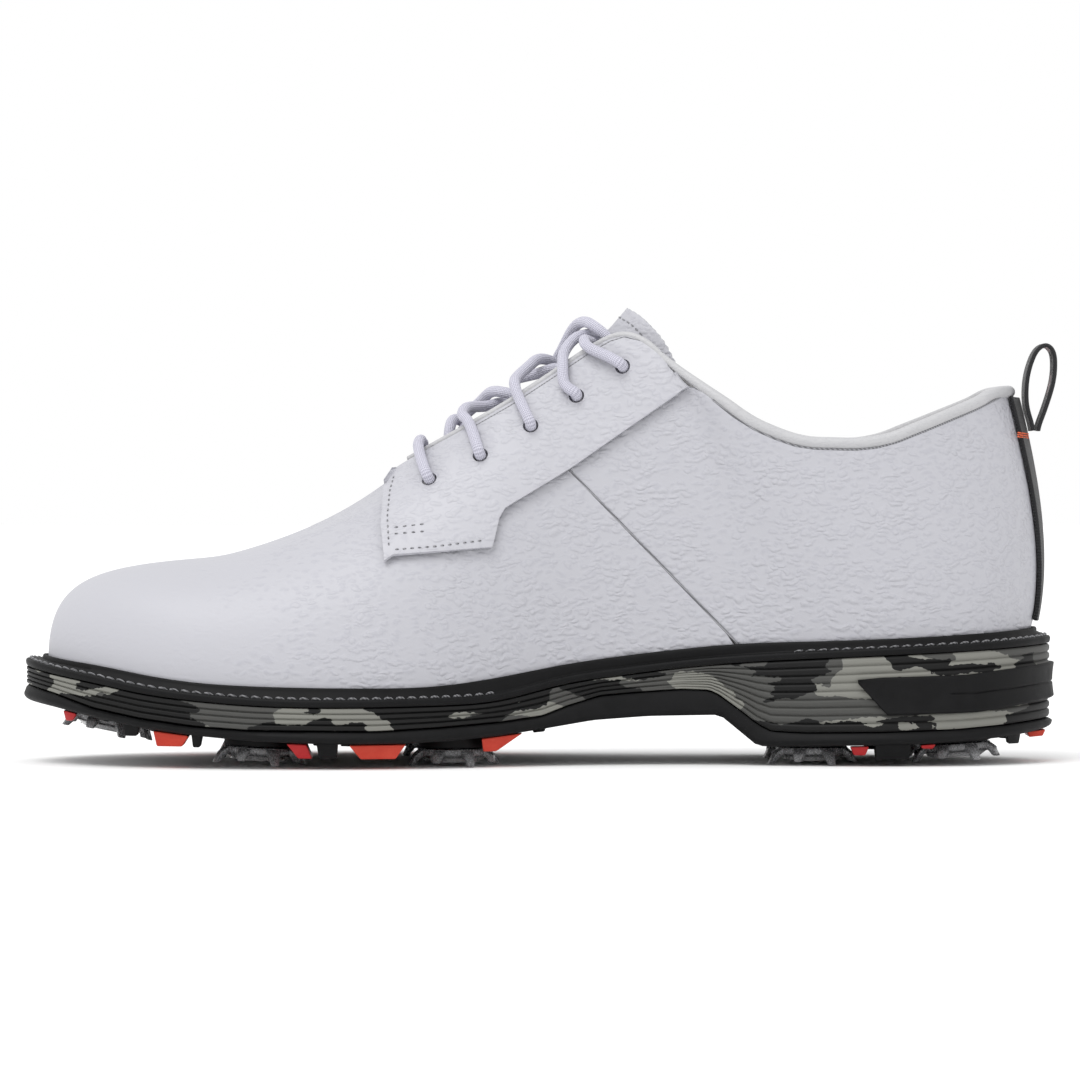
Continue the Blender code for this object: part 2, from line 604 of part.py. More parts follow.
def swept(name, rails, finish, cyclic=False):
    """A closed solid from rails: each is a line along it, and together they go round its section."""
    count = len(rails[0])
    rows = len(rails)
    faces = []
    for k in range(rows):
        for i in range(count if cyclic else count - 1):
            j = (i + 1) % count
            n = (k + 1) % rows
            faces.append((k * count + i, n * count + i, n * count + j, k * count + j))
    if not cyclic:
        faces.append(tuple(k * count for k in reversed(range(rows))))
        faces.append(tuple(k * count + count - 1 for k in range(rows)))
    mesh = mesh_of(name, np.vstack(rails), faces)
    work = bmesh.new()
    work.from_mesh(mesh)
    bmesh.ops.recalc_face_normals(work, faces=work.faces)
    work.to_mesh(mesh)
    work.free()
    return add_object(name, mesh, finish)


def bulge(us, side, rise):
    """How far the upper stands out from the feather line at this height above the midsole."""
    base, normal = feather(us, side)
    heights = np.linspace(0, 0.35, 40)
    out = []
    for u, foot, way in zip(us, base, normal):
        rib = last_surface(u, heights, side)
        t = np.interp(midsole_top(foot[0]) + rise(foot[0]), rib[:, 2], heights)
        out.append(float(np.dot(last_surface(u, t, side)[:2] - foot, way)))
    return np.array(out)


def welt():
    us = np.linspace(0, 1, STATIONS + 1)

    def bead(x):
        return upper_edge(x) - midsole_top(x)
    lines = []
    for extra, share, height in ((0.5, 0, 0.3), (0.6, 1, None), (1.4, 1, None), (3.0, 0, 2.7)):
        halves = []
        for side in (MEDIAL, LATERAL):
            out = extra + share * bulge(us, side, bead)
            out = np.minimum(out, WELT_OUT[side](us) - (0.9 if extra < 2 else 0.4))
            level = upper_edge if height is None else above(midsole_top, height)
            halves.append(rim(us, side, out, level))
        lines.append(np.vstack([halves[0], halves[1][-2:0:-1]]))
    lines.append(whole_rim(us, (EDGE, -0.1), above(midsole_top, WELT_EDGE + 0.3)))
    lines.append(whole_rim(us, (EDGE, 0.2), above(midsole_top, WELT_EDGE - 0.2)))
    lines.append(whole_rim(us, (EDGE, 0.1), above(midsole_top, 0.3)))
    return swept("welt", lines, BLACK_RUBBER, cyclic=True)


welt()


def path_round(start, end, out, height, count):
    """A line round the sole from the medial side at u = start, past the heel or toe, to u = end."""
    around_toe = start < 0.5
    pole = 0 if around_toe else 1
    there = rim(np.linspace(start, pole, count), MEDIAL, out, height)
    back = rim(np.linspace(pole, end, count), LATERAL, out, height)
    return np.vstack([there, back[1:]])


STITCH_IN = -1.2         # the welt's stitching, in from the welt's edge
STITCH_RISE = WELT_EDGE + 2.1
toe_run = path_round(0.46, 1.0, (EDGE, STITCH_IN), above(midsole_top, STITCH_RISE), 30)
heel_run = rim(np.linspace(1, 0.735, 12), MEDIAL, (EDGE, STITCH_IN), above(midsole_top, STITCH_RISE))
tube("welt_stitching", np.vstack([toe_run, heel_run[1:]]), 0.4, THREAD, sides=0)

# A black clip wraps the back of the heel, over the wall of the midsole.
PANEL_FROM = {side: float(np.interp(94.0, FEATHER[side][:, 0], ALONG[side])) for side in (MEDIAL, LATERAL)}
rails = [path_round(PANEL_FROM[MEDIAL], PANEL_FROM[LATERAL], (EDGE, out), above(level, rise), 14)
         for out, level, rise in ((0.4, panel_top, 0), (1.3, panel_top, -0.4), (1.3, panel_bottom, 0.4),
                                  (0.4, panel_bottom, 0))]
swept("heel_panel", rails, BLACK_RUBBER)


# The pull loop is a ribbon that stands on the back of the collar.
LOOP_WIDTH = 12.0
LOOP_THICK = 1.3
LOOP_LINE = [(146.6, 98.0), (146.1, 100.5), (145.0, 104.5), (144.6, 109), (145.0, 114), (146.3, 118.8),
             (148.2, 122.2), (150.5, 123.3), (152.4, 121.8), (153.1, 118), (152.7, 113), (151.4, 108),
             (149.7, 103), (148.6, 100), (148.1, 98.0)]


def pull_loop():
    line = smooth_line(LOOP_LINE, 33)
    way = np.gradient(line, axis=0)
    way /= np.linalg.norm(way, axis=1, keepdims=True)
    out = np.stack([-way[:, 1], way[:, 0]], 1) * LOOP_THICK / 2
    rails = []
    for sign, y in ((1, -1), (1, 1), (-1, 1), (-1, -1)):
        flat = line + sign * out
        rails.append(np.column_stack([flat[:, 0], np.full(len(flat), 0.5 + y * LOOP_WIDTH / 2), flat[:, 1]]))
    return swept("pull_loop", rails, WEBBING)


pull_loop()


# ---------------------------------------------------------------- outsole
# Cleats: name, x, y, tilt in degrees, height of the seat face.
CLEATS = [("toe", -127, -6, 11.6, 13.6), ("ball_medial", -81.5, -33, 3, 5.95), ("ball_lateral", -83, 30, 3, 5.95),
          ("arch_medial", -25, -27, 0, 5.2), ("arch_lateral", -28, 31, 0, 5.2),
          ("heel_front_medial", 80.6, -17.5, 0, 5.2), ("heel_front_lateral", 80.6, 20, 0, 5.2),
          ("heel_back_medial", 122.6, -17.5, -3.5, 6.4), ("heel_back_lateral", 122.6, 17.5, -3.5, 6.4)]
CLEAT_DEPTH = 5.2
CLEAT_REACH = 14.2
POST_RADIUS = 5.0
BORE_RADIUS = 5.5
SOCKET_RADIUS = 8.4
SOCKET_DEPTH = 2.6
BOSS_RADIUS = 10.5
BOSS_HEIGHT = 3.6


def turned(name, profile, finish, steps=16, collection=shoe):
    """A turned solid: the profile (radius, z) runs from the axis, down the outside, back to the axis."""
    mesh = bpy.data.meshes.new(name)
    mesh.from_pydata([(r * MM, 0, z * MM) for r, z in profile], [(i, i + 1) for i in range(len(profile) - 1)], [])
    part = add_object(name, mesh, finish, collection)
    spin = part.modifiers.new("turn", "SCREW")
    spin.steps = spin.render_steps = steps
    spin.use_merge_vertices = True
    spin.merge_threshold = 0.00001
    return part


def seat(x, y, tilt, z):
    """Where a cleat sits: its axis points up out of the sole's face."""
    spot = placed([(x, y, z)])[0]
    return Matrix.Translation(Vector(spot)) @ Matrix.Rotation(math.radians(tilt), 4, "Y")


def solid_mesh(part, name):
    """The evaluated mesh of an object, which is then removed."""
    graph = bpy.context.evaluated_depsgraph_get()
    mesh = bpy.data.meshes.new_from_object(part.evaluated_get(graph))
    mesh.name = name
    bpy.data.objects.remove(part)
    weld(mesh)
    return mesh


def cutter(part):
    for old in list(part.users_collection):
        old.objects.unlink(part)
    cutters.objects.link(part)
    part.hide_render = True
    part.display_type = "WIRE"
    return part


def boolean(part, other, operation):
    change = part.modifiers.new(operation.lower() + "_" + other.name, "BOOLEAN")
    change.operation = operation
    change.object = other
    change.solver = "EXACT"


def cleat_legs():
    """Eight legs that splay out and down from the cleat's disc, as separate wedges in one mesh."""
    side_view = [(7.5, -0.9), (11.5, -0.9), (CLEAT_REACH, -CLEAT_DEPTH), (12.4, -CLEAT_DEPTH)]
    points, faces = [], []
    for k in range(8):
        turn = math.radians(45 * k + 22.5)
        first = len(points)
        for half in (-1.5, 1.5):
            for r, z in side_view:
                points.append((r * math.cos(turn) - half * math.sin(turn),
                               r * math.sin(turn) + half * math.cos(turn), z))
        n = len(side_view)
        faces.append(tuple(first + i for i in range(n)))
        faces.append(tuple(first + n + i for i in reversed(range(n))))
        faces += [(first + (i + 1) % n, first + i, first + n + i, first + n + (i + 1) % n) for i in range(n)]
    mesh = bpy.data.meshes.new("cleat_legs")
    mesh.from_pydata([(x * MM, y * MM, z * MM) for x, y, z in points], [], faces)
    work = bmesh.new()
    work.from_mesh(mesh)
    bmesh.ops.recalc_face_normals(work, faces=work.faces)
    work.to_mesh(mesh)
    work.free()
    return cutter(add_object("cleat_legs", mesh, None))


body = turned("cleat", [(0, 2.2), (POST_RADIUS, 2.2), (POST_RADIUS, -0.3), (10.6, -0.3), (10.2, -2.3), (0, -3.2)],
              SMOKED_PLASTIC, 12)
boolean(body, cleat_legs(), "UNION")
bpy.context.view_layer.update()
cleat_mesh = solid_mesh(body, "cleat")
socket = turned("socket", [(BORE_RADIUS, SOCKET_DEPTH), (SOCKET_RADIUS, SOCKET_DEPTH), (SOCKET_RADIUS, 0.0),
                           (BORE_RADIUS, 0.0), (BORE_RADIUS, SOCKET_DEPTH)], SMOKED_PLASTIC, 12)
bpy.context.view_layer.update()
socket_mesh = solid_mesh(socket, "receptacle")

outsole = plate("outsole", [((EDGE, -0.6), above(outsole_top, -0.45)), ((EDGE, 0.7), above(outsole_bottom, 1.6)),
                            ((EDGE, 0.2), above(outsole_bottom, 0.6)), ((EDGE, -1.6), above(outsole_bottom, 0))],
                BLACK_RUBBER)
boss = turned("boss", [(0, BOSS_HEIGHT), (BOSS_RADIUS + 1, BOSS_HEIGHT), (BOSS_RADIUS, 0.0), (0, 0.0)], None)
bpy.context.view_layer.update()
boss_mesh = solid_mesh(boss, "boss")
well = turned("well", [(0, 12), (SOCKET_RADIUS + 0.35, 12), (SOCKET_RADIUS + 0.35, -8), (0, -8)], None)
bpy.context.view_layer.update()
well_mesh = solid_mesh(well, "well")
wells = []
for name, x, y, tilt, z in CLEATS:
    for mesh, word in ((cleat_mesh, "cleat_"), (socket_mesh, "receptacle_")):
        piece = bpy.data.objects.new(word + name, mesh)
        shoe.objects.link(piece)
        piece.matrix_world = seat(x, y, tilt, z)
    lift = outsole_bottom(x) - z
    if lift > 0.3:
        pad = cutter(add_object("boss_" + name, boss_mesh.copy(), None))
        pad.matrix_world = seat(x, y, tilt, z)
        boolean(outsole, pad, "UNION")
    hole = cutter(add_object("well_" + name, well_mesh.copy(), None))
    hole.matrix_world = seat(x, y, tilt, z)
    wells.append(hole)
for hole in wells:
    boolean(outsole, hole, "DIFFERENCE")


# ---------------------------------------------------------------- lugs
def edge_y(x, side, out):
    """y of the sole's side edge at x."""
    line = rim(np.linspace(0.001, 0.999, 300), side, (EDGE, out), 0)
    return float(np.interp(x, line[:, 0], line[:, 1]))


def lug_mesh(name, side, top, foot, depth, width=13.0, bury=0.0):
    """A block under the sole's edge: top and foot are its x ranges, depth its height below the sole."""
    points = []
    for (x0, x1), drop, inset in ((top, -bury, 1.6), (foot, depth, 2.6)):
        for x in (x0, x1):
            z = float(outsole_bottom(x)) - drop - (0 if bury else 0.3) * (drop <= 0)
            if drop > 0:
                z = float(outsole_bottom(0.5 * (foot[0] + foot[1]))) - depth
            outer = edge_y(x, side, -inset)
            points += [(x, outer, z), (x, outer - side * (width - inset), z)]
    faces = [(0, 1, 3, 2), (4, 6, 7, 5), (0, 2, 6, 4), (1, 5, 7, 3), (0, 4, 5, 1), (2, 3, 7, 6)]
    mesh = mesh_of(name, points, faces)
    work = bmesh.new()
    work.from_mesh(mesh)
    bmesh.ops.recalc_face_normals(work, faces=work.faces)
    work.to_mesh(mesh)
    work.free()
    return mesh


# Red lugs: name, side, x range at the sole, x range at the foot, depth.
RED_LUGS = [("tip", (-139.5, -135.3), (-138.8, -136.6), 3.0, 8.0), ("toe", (-112, -101.5), (-111, -103.5), 4.2, 13.0),
            ("mid", (-73, -67.2), (-69.6, -65.6), 4.4, 13.0), ("ball", (-54.9, -38.6), (-51.6, -41.5), 4.4, 13.0),
            ("arch", (-16.7, -4.8), (-16.2, -12.5), 4.3, 8.0), ("heel", (91, 96.4), (92, 95.4), 2.9, 7.0),
            ("rear", (111.4, 116), (112, 115.2), 1.5, 7.0)]
for name, top, foot, depth, width in RED_LUGS:
    for side, word in ((MEDIAL, "medial"), (LATERAL, "lateral")):
        node = "lug_" + name + "_" + word
        add_object(node, lug_mesh(node, side, top, foot, depth, width), RED_RUBBER)


def back_lug():
    """The block at the very back, across the middle of the heel."""
    corners = [(x, 0.5 + y, z) for x, y, z in ((144.7, 8, 8.65), (150.4, 6, 9.35), (145.4, 7, 7.1), (149.6, 5, 7.4))]
    points = [(x, 1.0 - y, z) for x, y, z in corners] + corners
    faces = [(0, 1, 3, 2), (4, 6, 7, 5), (0, 4, 5, 1), (2, 3, 7, 6), (0, 2, 6, 4), (1, 5, 7, 3)]
    mesh = mesh_of("lug_back", points, faces)
    work = bmesh.new()
    work.from_mesh(mesh)
    bmesh.ops.recalc_face_normals(work, faces=work.faces)
    work.to_mesh(mesh)
    work.free()
    add_object("lug_back", mesh, RED_RUBBER)


back_lug()

# Black lugs, moulded in one with the outsole.
BLACK_LUGS = [((-121.5, -116), (-120.5, -117), 3.0), ((-100.8, -97.5), (-100.3, -98.3), 3.4),
              ((-64.5, -58.2), (-63.5, -58.6), 4.2), ((98, 108.8), (98.6, 108.2), 4.3),
              ((137.4, 142), (138, 141.4), 2.6)]
for number, (top, foot, depth) in enumerate(BLACK_LUGS):
    for side in (MEDIAL, LATERAL):
        name = "black_lug_%d_%d" % (number, side)
        block = cutter(add_object(name, lug_mesh(name, side, top, foot, depth, 11.0, 0.8), None))
        boolean(outsole, block, "UNION")


# ---------------------------------------------------------------- inside the sole
def strip(name, xs, half, y, level, low, high, finish):
    """A flat bar along the middle of the sole, between two heights above the midsole."""
    xs = np.linspace(*xs, 14)
    mid = np.interp(xs, [-20, 60], y)
    rails = []
    for sign, rise in ((-1, high), (1, high), (1, low), (-1, low)):
        rails.append(np.column_stack([xs, mid + sign * half, level(xs) + rise]))
    return swept(name, rails, finish)


strip("shank", (-6, 92), 6.5, (2.0, 3.5), midsole_top, 0.5, 1.7, STEEL)


def filler():
    """Cork that fills the hollow between insole board and midsole, in the forepart."""
    us = np.linspace(0, 0.44, 20)
    there, back = (rim(us, side, -9.0, above(midsole_top, 1.9)) for side in (MEDIAL, LATERAL))
    low, low_back = (rim(us, side, -9.0, above(midsole_top, 0.5)) for side in (MEDIAL, LATERAL))
    return swept("cork_filler", [there, back, low_back, low], FIBRE_BOARD)


filler()


# ---------------------------------------------------------------- lace
LACE_RADIUS = 1.65
INSIDE = -2.4          # lift of the lace where it runs between facing and tongue
OUTSIDE = FACING_LIFT + LACE_RADIUS + 0.5


def spot(x, y, lift):
    """The point at this lift over the surface, near x, y seen from above."""
    side = MEDIAL if y < 0 else LATERAL
    u, t = seen_from_above(side, x, y)
    return lifted(u, t, side, lift)


EYES = {}
for side in (MEDIAL, LATERAL):
    for n, (x, z) in enumerate(EYELETS):
        u, t = on_last(side, x + 0.9, z - 1.3)
        EYES[side, n] = {lift: lifted(u, t, side, lift) for lift in (INSIDE, -0.6, 1.6, OUTSIDE)}
        EYES[side, n]["y"] = float(EYES[side, n][1.6][1])


def through(side, n, outwards):
    """The points of the lace on its way through an eyelet."""
    eye = EYES[side, n]
    points = [eye[INSIDE], eye[-0.6], eye[1.6], eye[OUTSIDE]]
    return points if outwards else points[::-1]


def crossing(side, n, upper):
    """From the outside of eyelet n, over the facing's edge, to under the other facing at eyelet n + 1."""
    x = EYELETS[n][0] + 0.9
    beyond_x = EYELETS[n + 1][0] + 0.9
    far_y = EYES[-side, n + 1]["y"]
    edge = 11.2
    over = 2.0 if n == 3 else 0.0       # the last crossing lies on the part of the tongue that stands up
    return [spot(x - 2.6, side * (edge + 2.8), OUTSIDE), spot(x - 3.4, side * edge, OUTSIDE + 0.3),
            spot(x - 2.6, side * 8.0, OUTSIDE - 0.9), spot(x + 0.5, side * 4.0, over + (2.0 if upper else -0.6)),
            spot(x + 3.0, 0.0, over + (1.4 if upper else -2.7)),
            spot(x + 6.5, -side * 5.0, over + (-0.6 if upper else -3.2)),
            spot(beyond_x - 4.2, -side * (edge - 0.7), INSIDE),
            spot(beyond_x - 2.0, 0.5 * (far_y - side * (edge + 1.0)), INSIDE)]


def lace_half(side, upper):
    """From the bar across the first eyelets up to a hidden end, for the end that goes in on this side."""
    points = through(side, 0, False)
    x0, x1 = EYELETS[0][0] + 0.9, EYELETS[1][0] + 0.9
    points += [spot(x0 + 3.0, side * 9.5, INSIDE), spot(0.5 * (x0 + x1), 0.0, INSIDE + (4.2 if upper else 0.0)),
               spot(x1 - 4.0, -side * 9.5, INSIDE)]
    here = -side
    for n in range(1, 4):
        points += through(here, n, True)
        points += crossing(here, n, upper)
        here = -here
    points += through(here, 4, True)
    x = EYELETS[4][0] + 0.9
    points += [spot(x - 4.6, here * 13.4, OUTSIDE + 0.2), spot(x - 9.3, here * 10.6, OUTSIDE + 0.3),
               spot(x - 10.6, here * 8.3, OUTSIDE - 1.2), spot(x - 10.3, here * 7.3, 0.6),
               spot(x - 9.9, here * 6.9, -1.6), spot(x - 9.6, here * 6.6, -2.9)]
    return points


def shoelace():
    bar = [spot(EYELETS[0][0] - 0.4, y, OUTSIDE + rise) for y, rise in ((-10.5, 0.2), (-5, -0.8), (0, -1.2),
                                                                        (5, -0.8), (10.5, 0.2))]
    first, second = lace_half(MEDIAL, True), lace_half(LATERAL, False)
    line = smooth_line(first[::-1] + bar + second, 136)
    return tube("shoelace", line, LACE_RADIUS, LACE, sides=1)


shoelace()

# Eyelet holes, punched through the facings square to the leather.
for side, word in ((MEDIAL, "medial"), (LATERAL, "lateral")):
    facing = bpy.data.objects["facing_" + word]
    for n in range(len(EYELETS)):
        low, high = (Vector(EYES[side, n][lift]) for lift in (INSIDE, OUTSIDE))
        punch = turned("punch_%s_%d" % (word, n), [(0, 4), (EYELET_HOLE / 2, 4), (EYELET_HOLE / 2, -4), (0, -4)],
                       None, 12)
        bpy.context.view_layer.update()
        punch = cutter(add_object("eyelet_%s_%d" % (word, n), solid_mesh(punch, "punch"), None))
        middle = Vector(placed([EYES[side, n][1.6]])[0])
        punch.matrix_world = Matrix.Translation(middle) @ (high - low).to_track_quat("Z", "X").to_matrix().to_4x4()
        boolean(facing, punch, "DIFFERENCE")
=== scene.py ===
# %% [markdown]
# # A welted golf shoe
# The shoe is a right shoe, toe towards -X, standing on its cleats. Its frame (every node, body and joint)
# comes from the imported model, and each cell below dresses one part of it: first the helpers, then the
# surface of the last, then leather, sole, cleats, lace, and in the end the studio.

# %% Start
import math

import bmesh
import bpy
import numpy as np
from mathutils import Matrix, Vector


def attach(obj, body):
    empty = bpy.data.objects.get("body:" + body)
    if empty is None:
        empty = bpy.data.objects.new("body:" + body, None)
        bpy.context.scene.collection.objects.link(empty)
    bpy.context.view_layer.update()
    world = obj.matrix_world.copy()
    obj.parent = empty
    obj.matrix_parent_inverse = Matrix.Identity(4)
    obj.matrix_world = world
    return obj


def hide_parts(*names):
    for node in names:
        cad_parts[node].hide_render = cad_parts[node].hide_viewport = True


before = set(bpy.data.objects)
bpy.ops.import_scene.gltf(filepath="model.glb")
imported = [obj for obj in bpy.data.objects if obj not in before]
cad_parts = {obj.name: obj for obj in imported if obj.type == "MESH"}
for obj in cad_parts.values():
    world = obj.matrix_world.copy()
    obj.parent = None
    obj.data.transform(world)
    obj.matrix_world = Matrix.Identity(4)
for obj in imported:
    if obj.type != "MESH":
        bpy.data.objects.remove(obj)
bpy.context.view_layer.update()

MM = 0.001
MEDIAL, LATERAL = -1, 1

# %% [markdown]
# Lengths below are in millimetres, because shoemakers think in them. One function turns them into the
# metres of the frame. The drawing of the shoe was made with its heel seat as a guide and then centred, so
# the same two shifts are applied here.

# %% Millimetres of the drawing
SHIFT_X, SHIFT_Y = -0.5, 0.36


def placed(points):
    return (np.asarray(points, float).reshape(-1, 3) + (SHIFT_X, SHIFT_Y, 0)) * MM


print("the drawing's origin in the frame:", placed([(0, 0, 0)])[0])

# %% [markdown]
# A curve through a few measured points is a cubic spline. A closed spline draws the feather line, which is
# where upper and sole meet, seen from above. Both are worked out once, so that leather, lining, welt and
# sole share exactly the same shape.

# %% Splines
def natural(points):
    """The smooth curve through the points, as a function of x: a natural cubic spline."""
    x, y = np.array(points, float).T
    h = np.diff(x)
    rows = np.eye(len(x))
    right = np.zeros(len(x))
    for i in range(1, len(x) - 1):
        rows[i, i - 1:i + 2] = h[i - 1], 2 * (h[i - 1] + h[i]), h[i]
        right[i] = 6 * ((y[i + 1] - y[i]) / h[i] - (y[i] - y[i - 1]) / h[i - 1])
    bend = np.linalg.solve(rows, right)

    def value(at):
        at = np.clip(at, x[0], x[-1])
        k = np.clip(np.searchsorted(x, at, side="right") - 1, 0, len(x) - 2)
        a, b = (x[k + 1] - at) / h[k], (at - x[k]) / h[k]
        curve = (a ** 3 - a) * bend[k] + (b ** 3 - b) * bend[k + 1]
        return a * y[k] + b * y[k + 1] + curve * h[k] ** 2 / 6
    return value


def straight(points):
    """The same for a line that keeps its corners."""
    x, y = np.array(points, float).T
    return lambda at: np.interp(at, x, y)


def closed_spline(points, count):
    """count points along a smooth closed curve through the points: a periodic cubic spline."""
    p = np.array(points, float)
    n = len(p)
    after = np.roll(p, -1, axis=0)
    step = np.sqrt(np.linalg.norm(after - p, axis=1))
    rows, right = np.zeros((n, n)), np.zeros((n, 2))
    for i in range(n):
        before, here = step[i - 1], step[i]
        rows[i, i - 1] += before / 6
        rows[i, i] += (before + here) / 3
        rows[i, (i + 1) % n] += here / 6
        right[i] = (after[i] - p[i]) / here - (p[i] - p[i - 1]) / before
    bend = np.linalg.solve(rows, right)
    ends = np.concatenate([[0], np.cumsum(step)])
    at = np.linspace(0, ends[-1], count, endpoint=False)
    k = np.clip(np.searchsorted(ends, at, side="right") - 1, 0, n - 1)
    h = step[k][:, None]
    a = (ends[k + 1] - at)[:, None] / h
    b = 1 - a
    curve = (a ** 3 - a) * bend[k] + (b ** 3 - b) * np.roll(bend, -1, axis=0)[k]
    return a * p[k] + b * after[k] + curve * h * h / 6


def spaced(points, count):
    """count points evenly spaced along a polyline."""
    p = np.array(points, float)
    along = np.concatenate([[0], np.cumsum(np.linalg.norm(np.diff(p, axis=0), axis=1))])
    at = np.linspace(0, along[-1], count)
    return np.stack([np.interp(at, along, p[:, k]) for k in range(p.shape[1])], 1)


def smooth_line(points, count):
    """count points along a smooth open curve through the points."""
    p = np.array(points, float)
    along = np.concatenate([[0], np.cumsum(np.sqrt(np.linalg.norm(np.diff(p, axis=0), axis=1)))])
    at = np.linspace(0, along[-1], 30 * len(p))
    fine = np.stack([natural(np.column_stack([along, p[:, k]]))(at) for k in range(p.shape[1])], 1)
    return spaced(fine, count)


print("a straight run as a check:", spaced([(0, 0), (3, 0)], 4)[:, 0])


# %% [markdown]
# The tables are the few sizes that everything follows: the feather line from above, and the heights of
# each layer of the sole along the shoe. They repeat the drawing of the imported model, so a dressed piece
# lies exactly where its plain solid does.

# %% Measures
WELT_EDGE = 2.0

TOE_TIP = (-145.5, -6)
HEEL_BACK = (145, 0.5)
MEDIAL_FEATHER = [(-141, -18), (-130, -30), (-112, -41), (-90, -47.5), (-62, -50), (-38, -46.5), (-15, -37.5),
                  (5, -29.5), (25, -25.5), (45, -25), (65, -27.5), (90, -31.5), (115, -31), (132, -24),
                  (141.5, -12)]
LATERAL_FEATHER = [(-144, 6), (-136, 20), (-121, 33), (-100, 42.5), (-75, 47.5), (-48, 49.5), (-20, 47),
                   (10, 41), (40, 37), (70, 35.5), (95, 35), (115, 32.5), (132, 25), (141.5, 13)]

# Heights along the shoe: (x, z).
MIDSOLE_TOP = [(-153, 28.5), (-142, 26.2), (-130, 24.1), (-116, 21.4), (-100, 19.4), (-83, 18.1), (-47, 17.6),
               (-29, 17.9), (-11, 19.2), (6, 23.2), (24, 26), (42, 28.2), (60, 29.8), (78, 30.9), (107, 32.3),
               (137, 33.9), (153, 34.9)]
UPPER_EDGE = [(-153, 33.2), (-145, 31.5), (-130, 29.4), (-116, 27), (-100, 24.8), (-83, 23.8), (-47, 23.2),
              (-32, 23.5), (-20, 24.7), (-8, 26.6), (6, 29.2), (24, 31.8), (42, 33.9), (60, 35.5), (78, 36.2),
              (107, 37.3), (137, 39), (153, 40.2)]
OUTSOLE_TOP = [(-153, 23.6), (-142, 21.1), (-130, 17.2), (-116, 14.5), (-100, 12.4), (-83, 11.3), (-47, 11),
               (-29, 11.9), (-11, 13.2), (1, 14.8), (8, 17.5), (18, 20.5), (30, 21.5), (42, 22.3), (50, 22),
               (53, 20.5), (60, 15.4), (64, 12.2), (68, 10.2), (78, 9.8), (100, 10.1), (122, 10.8), (138, 12),
               (153, 13.4)]
OUTSOLE_BOTTOM = [(-153, 18.6), (-142, 16.8), (-130, 14.3), (-116, 11.5), (-100, 9.5), (-83, 8), (-60, 7.1),
                  (-40, 7.2), (-25, 7.8), (-12, 8.9), (1, 10.7), (16, 13.1), (32, 14.2), (53, 14.6),
                  (64, 5.6), (70, 5.4), (92, 5.9), (110, 6.2), (122, 7.0), (134, 7.8), (144, 8.9),
                  (153, 10.2)]
PANEL_TOP = [(90, 23.5), (93, 25.2), (100, 25.9), (125, 26.6), (137, 28), (153, 29.6)]
PANEL_BOTTOM = [(90, 23.5), (93, 24.2), (101.5, 14.9), (128, 15.6), (153, 19)]

WELT_OUT = {
    MEDIAL: natural([(0, 6.5), (0.1, 6), (0.2, 5.3), (0.35, 5.2), (0.45, 4.3), (0.55, 3.4), (0.68, 3.4),
                     (0.76, 4.5), (0.9, 5), (0.96, 6), (1, 7)]),
    LATERAL: natural([(0, 6.5), (0.1, 6), (0.2, 5.3), (0.45, 5), (0.6, 4.6), (0.8, 4.6), (0.92, 5), (1, 7)]),
}
midsole_top, upper_edge = natural(MIDSOLE_TOP), natural(UPPER_EDGE)
outsole_top, outsole_bottom = straight(OUTSOLE_TOP), straight(OUTSOLE_BOTTOM)
panel_top, panel_bottom = straight(PANEL_TOP), straight(PANEL_BOTTOM)

ring = closed_spline([TOE_TIP, *MEDIAL_FEATHER, HEEL_BACK, *LATERAL_FEATHER[::-1]], 4000)
heel_at = np.argmin(np.hypot(*(ring - np.array(HEEL_BACK)).T))
FEATHER = {MEDIAL: ring[:heel_at + 1], LATERAL: np.vstack([ring[heel_at:], ring[:1]])[::-1]}
ALONG = {}
for side, line in FEATHER.items():
    length = np.concatenate([[0], np.cumsum(np.linalg.norm(np.diff(line, axis=0), axis=1))])
    ALONG[side] = length / length[-1]


def feather(u, side):
    """(points, outward normals) of the feather line at u, from 0 at the toe tip to 1 at the heel."""
    u = np.asarray(u, float)
    reach = 0.004
    line, along = FEATHER[side], ALONG[side]

    def at(v):
        return np.stack([np.interp(v, along, line[:, 0]), np.interp(v, along, line[:, 1])], -1)
    way = at(np.clip(u + reach, 0, 1)) - at(np.clip(u - reach, 0, 1))
    way = np.where(((u < reach) | (u > 1 - reach))[..., None], way * 0, way)
    ends = np.where((u < 0.5)[..., None], np.array([0.0, side]), np.array([0.0, -side]))
    way = np.where(np.linalg.norm(way, axis=-1, keepdims=True) < 1e-9, ends, way)
    way = way / np.linalg.norm(way, axis=-1, keepdims=True)
    return at(u), np.stack([-way[..., 1], way[..., 0]], -1) * side


print("feather line:", len(ring), "points")

# %% [markdown]
# The last is the foot-shaped block that a shoe is made on. It is a fan of ribs: each starts on the feather
# line, bulges out, and ends on the ridge over the instep or, behind the tongue, on a ring at the ankle.
# A point of the leather is then named by u, how far along the sole, t, how far up the rib, and the side.

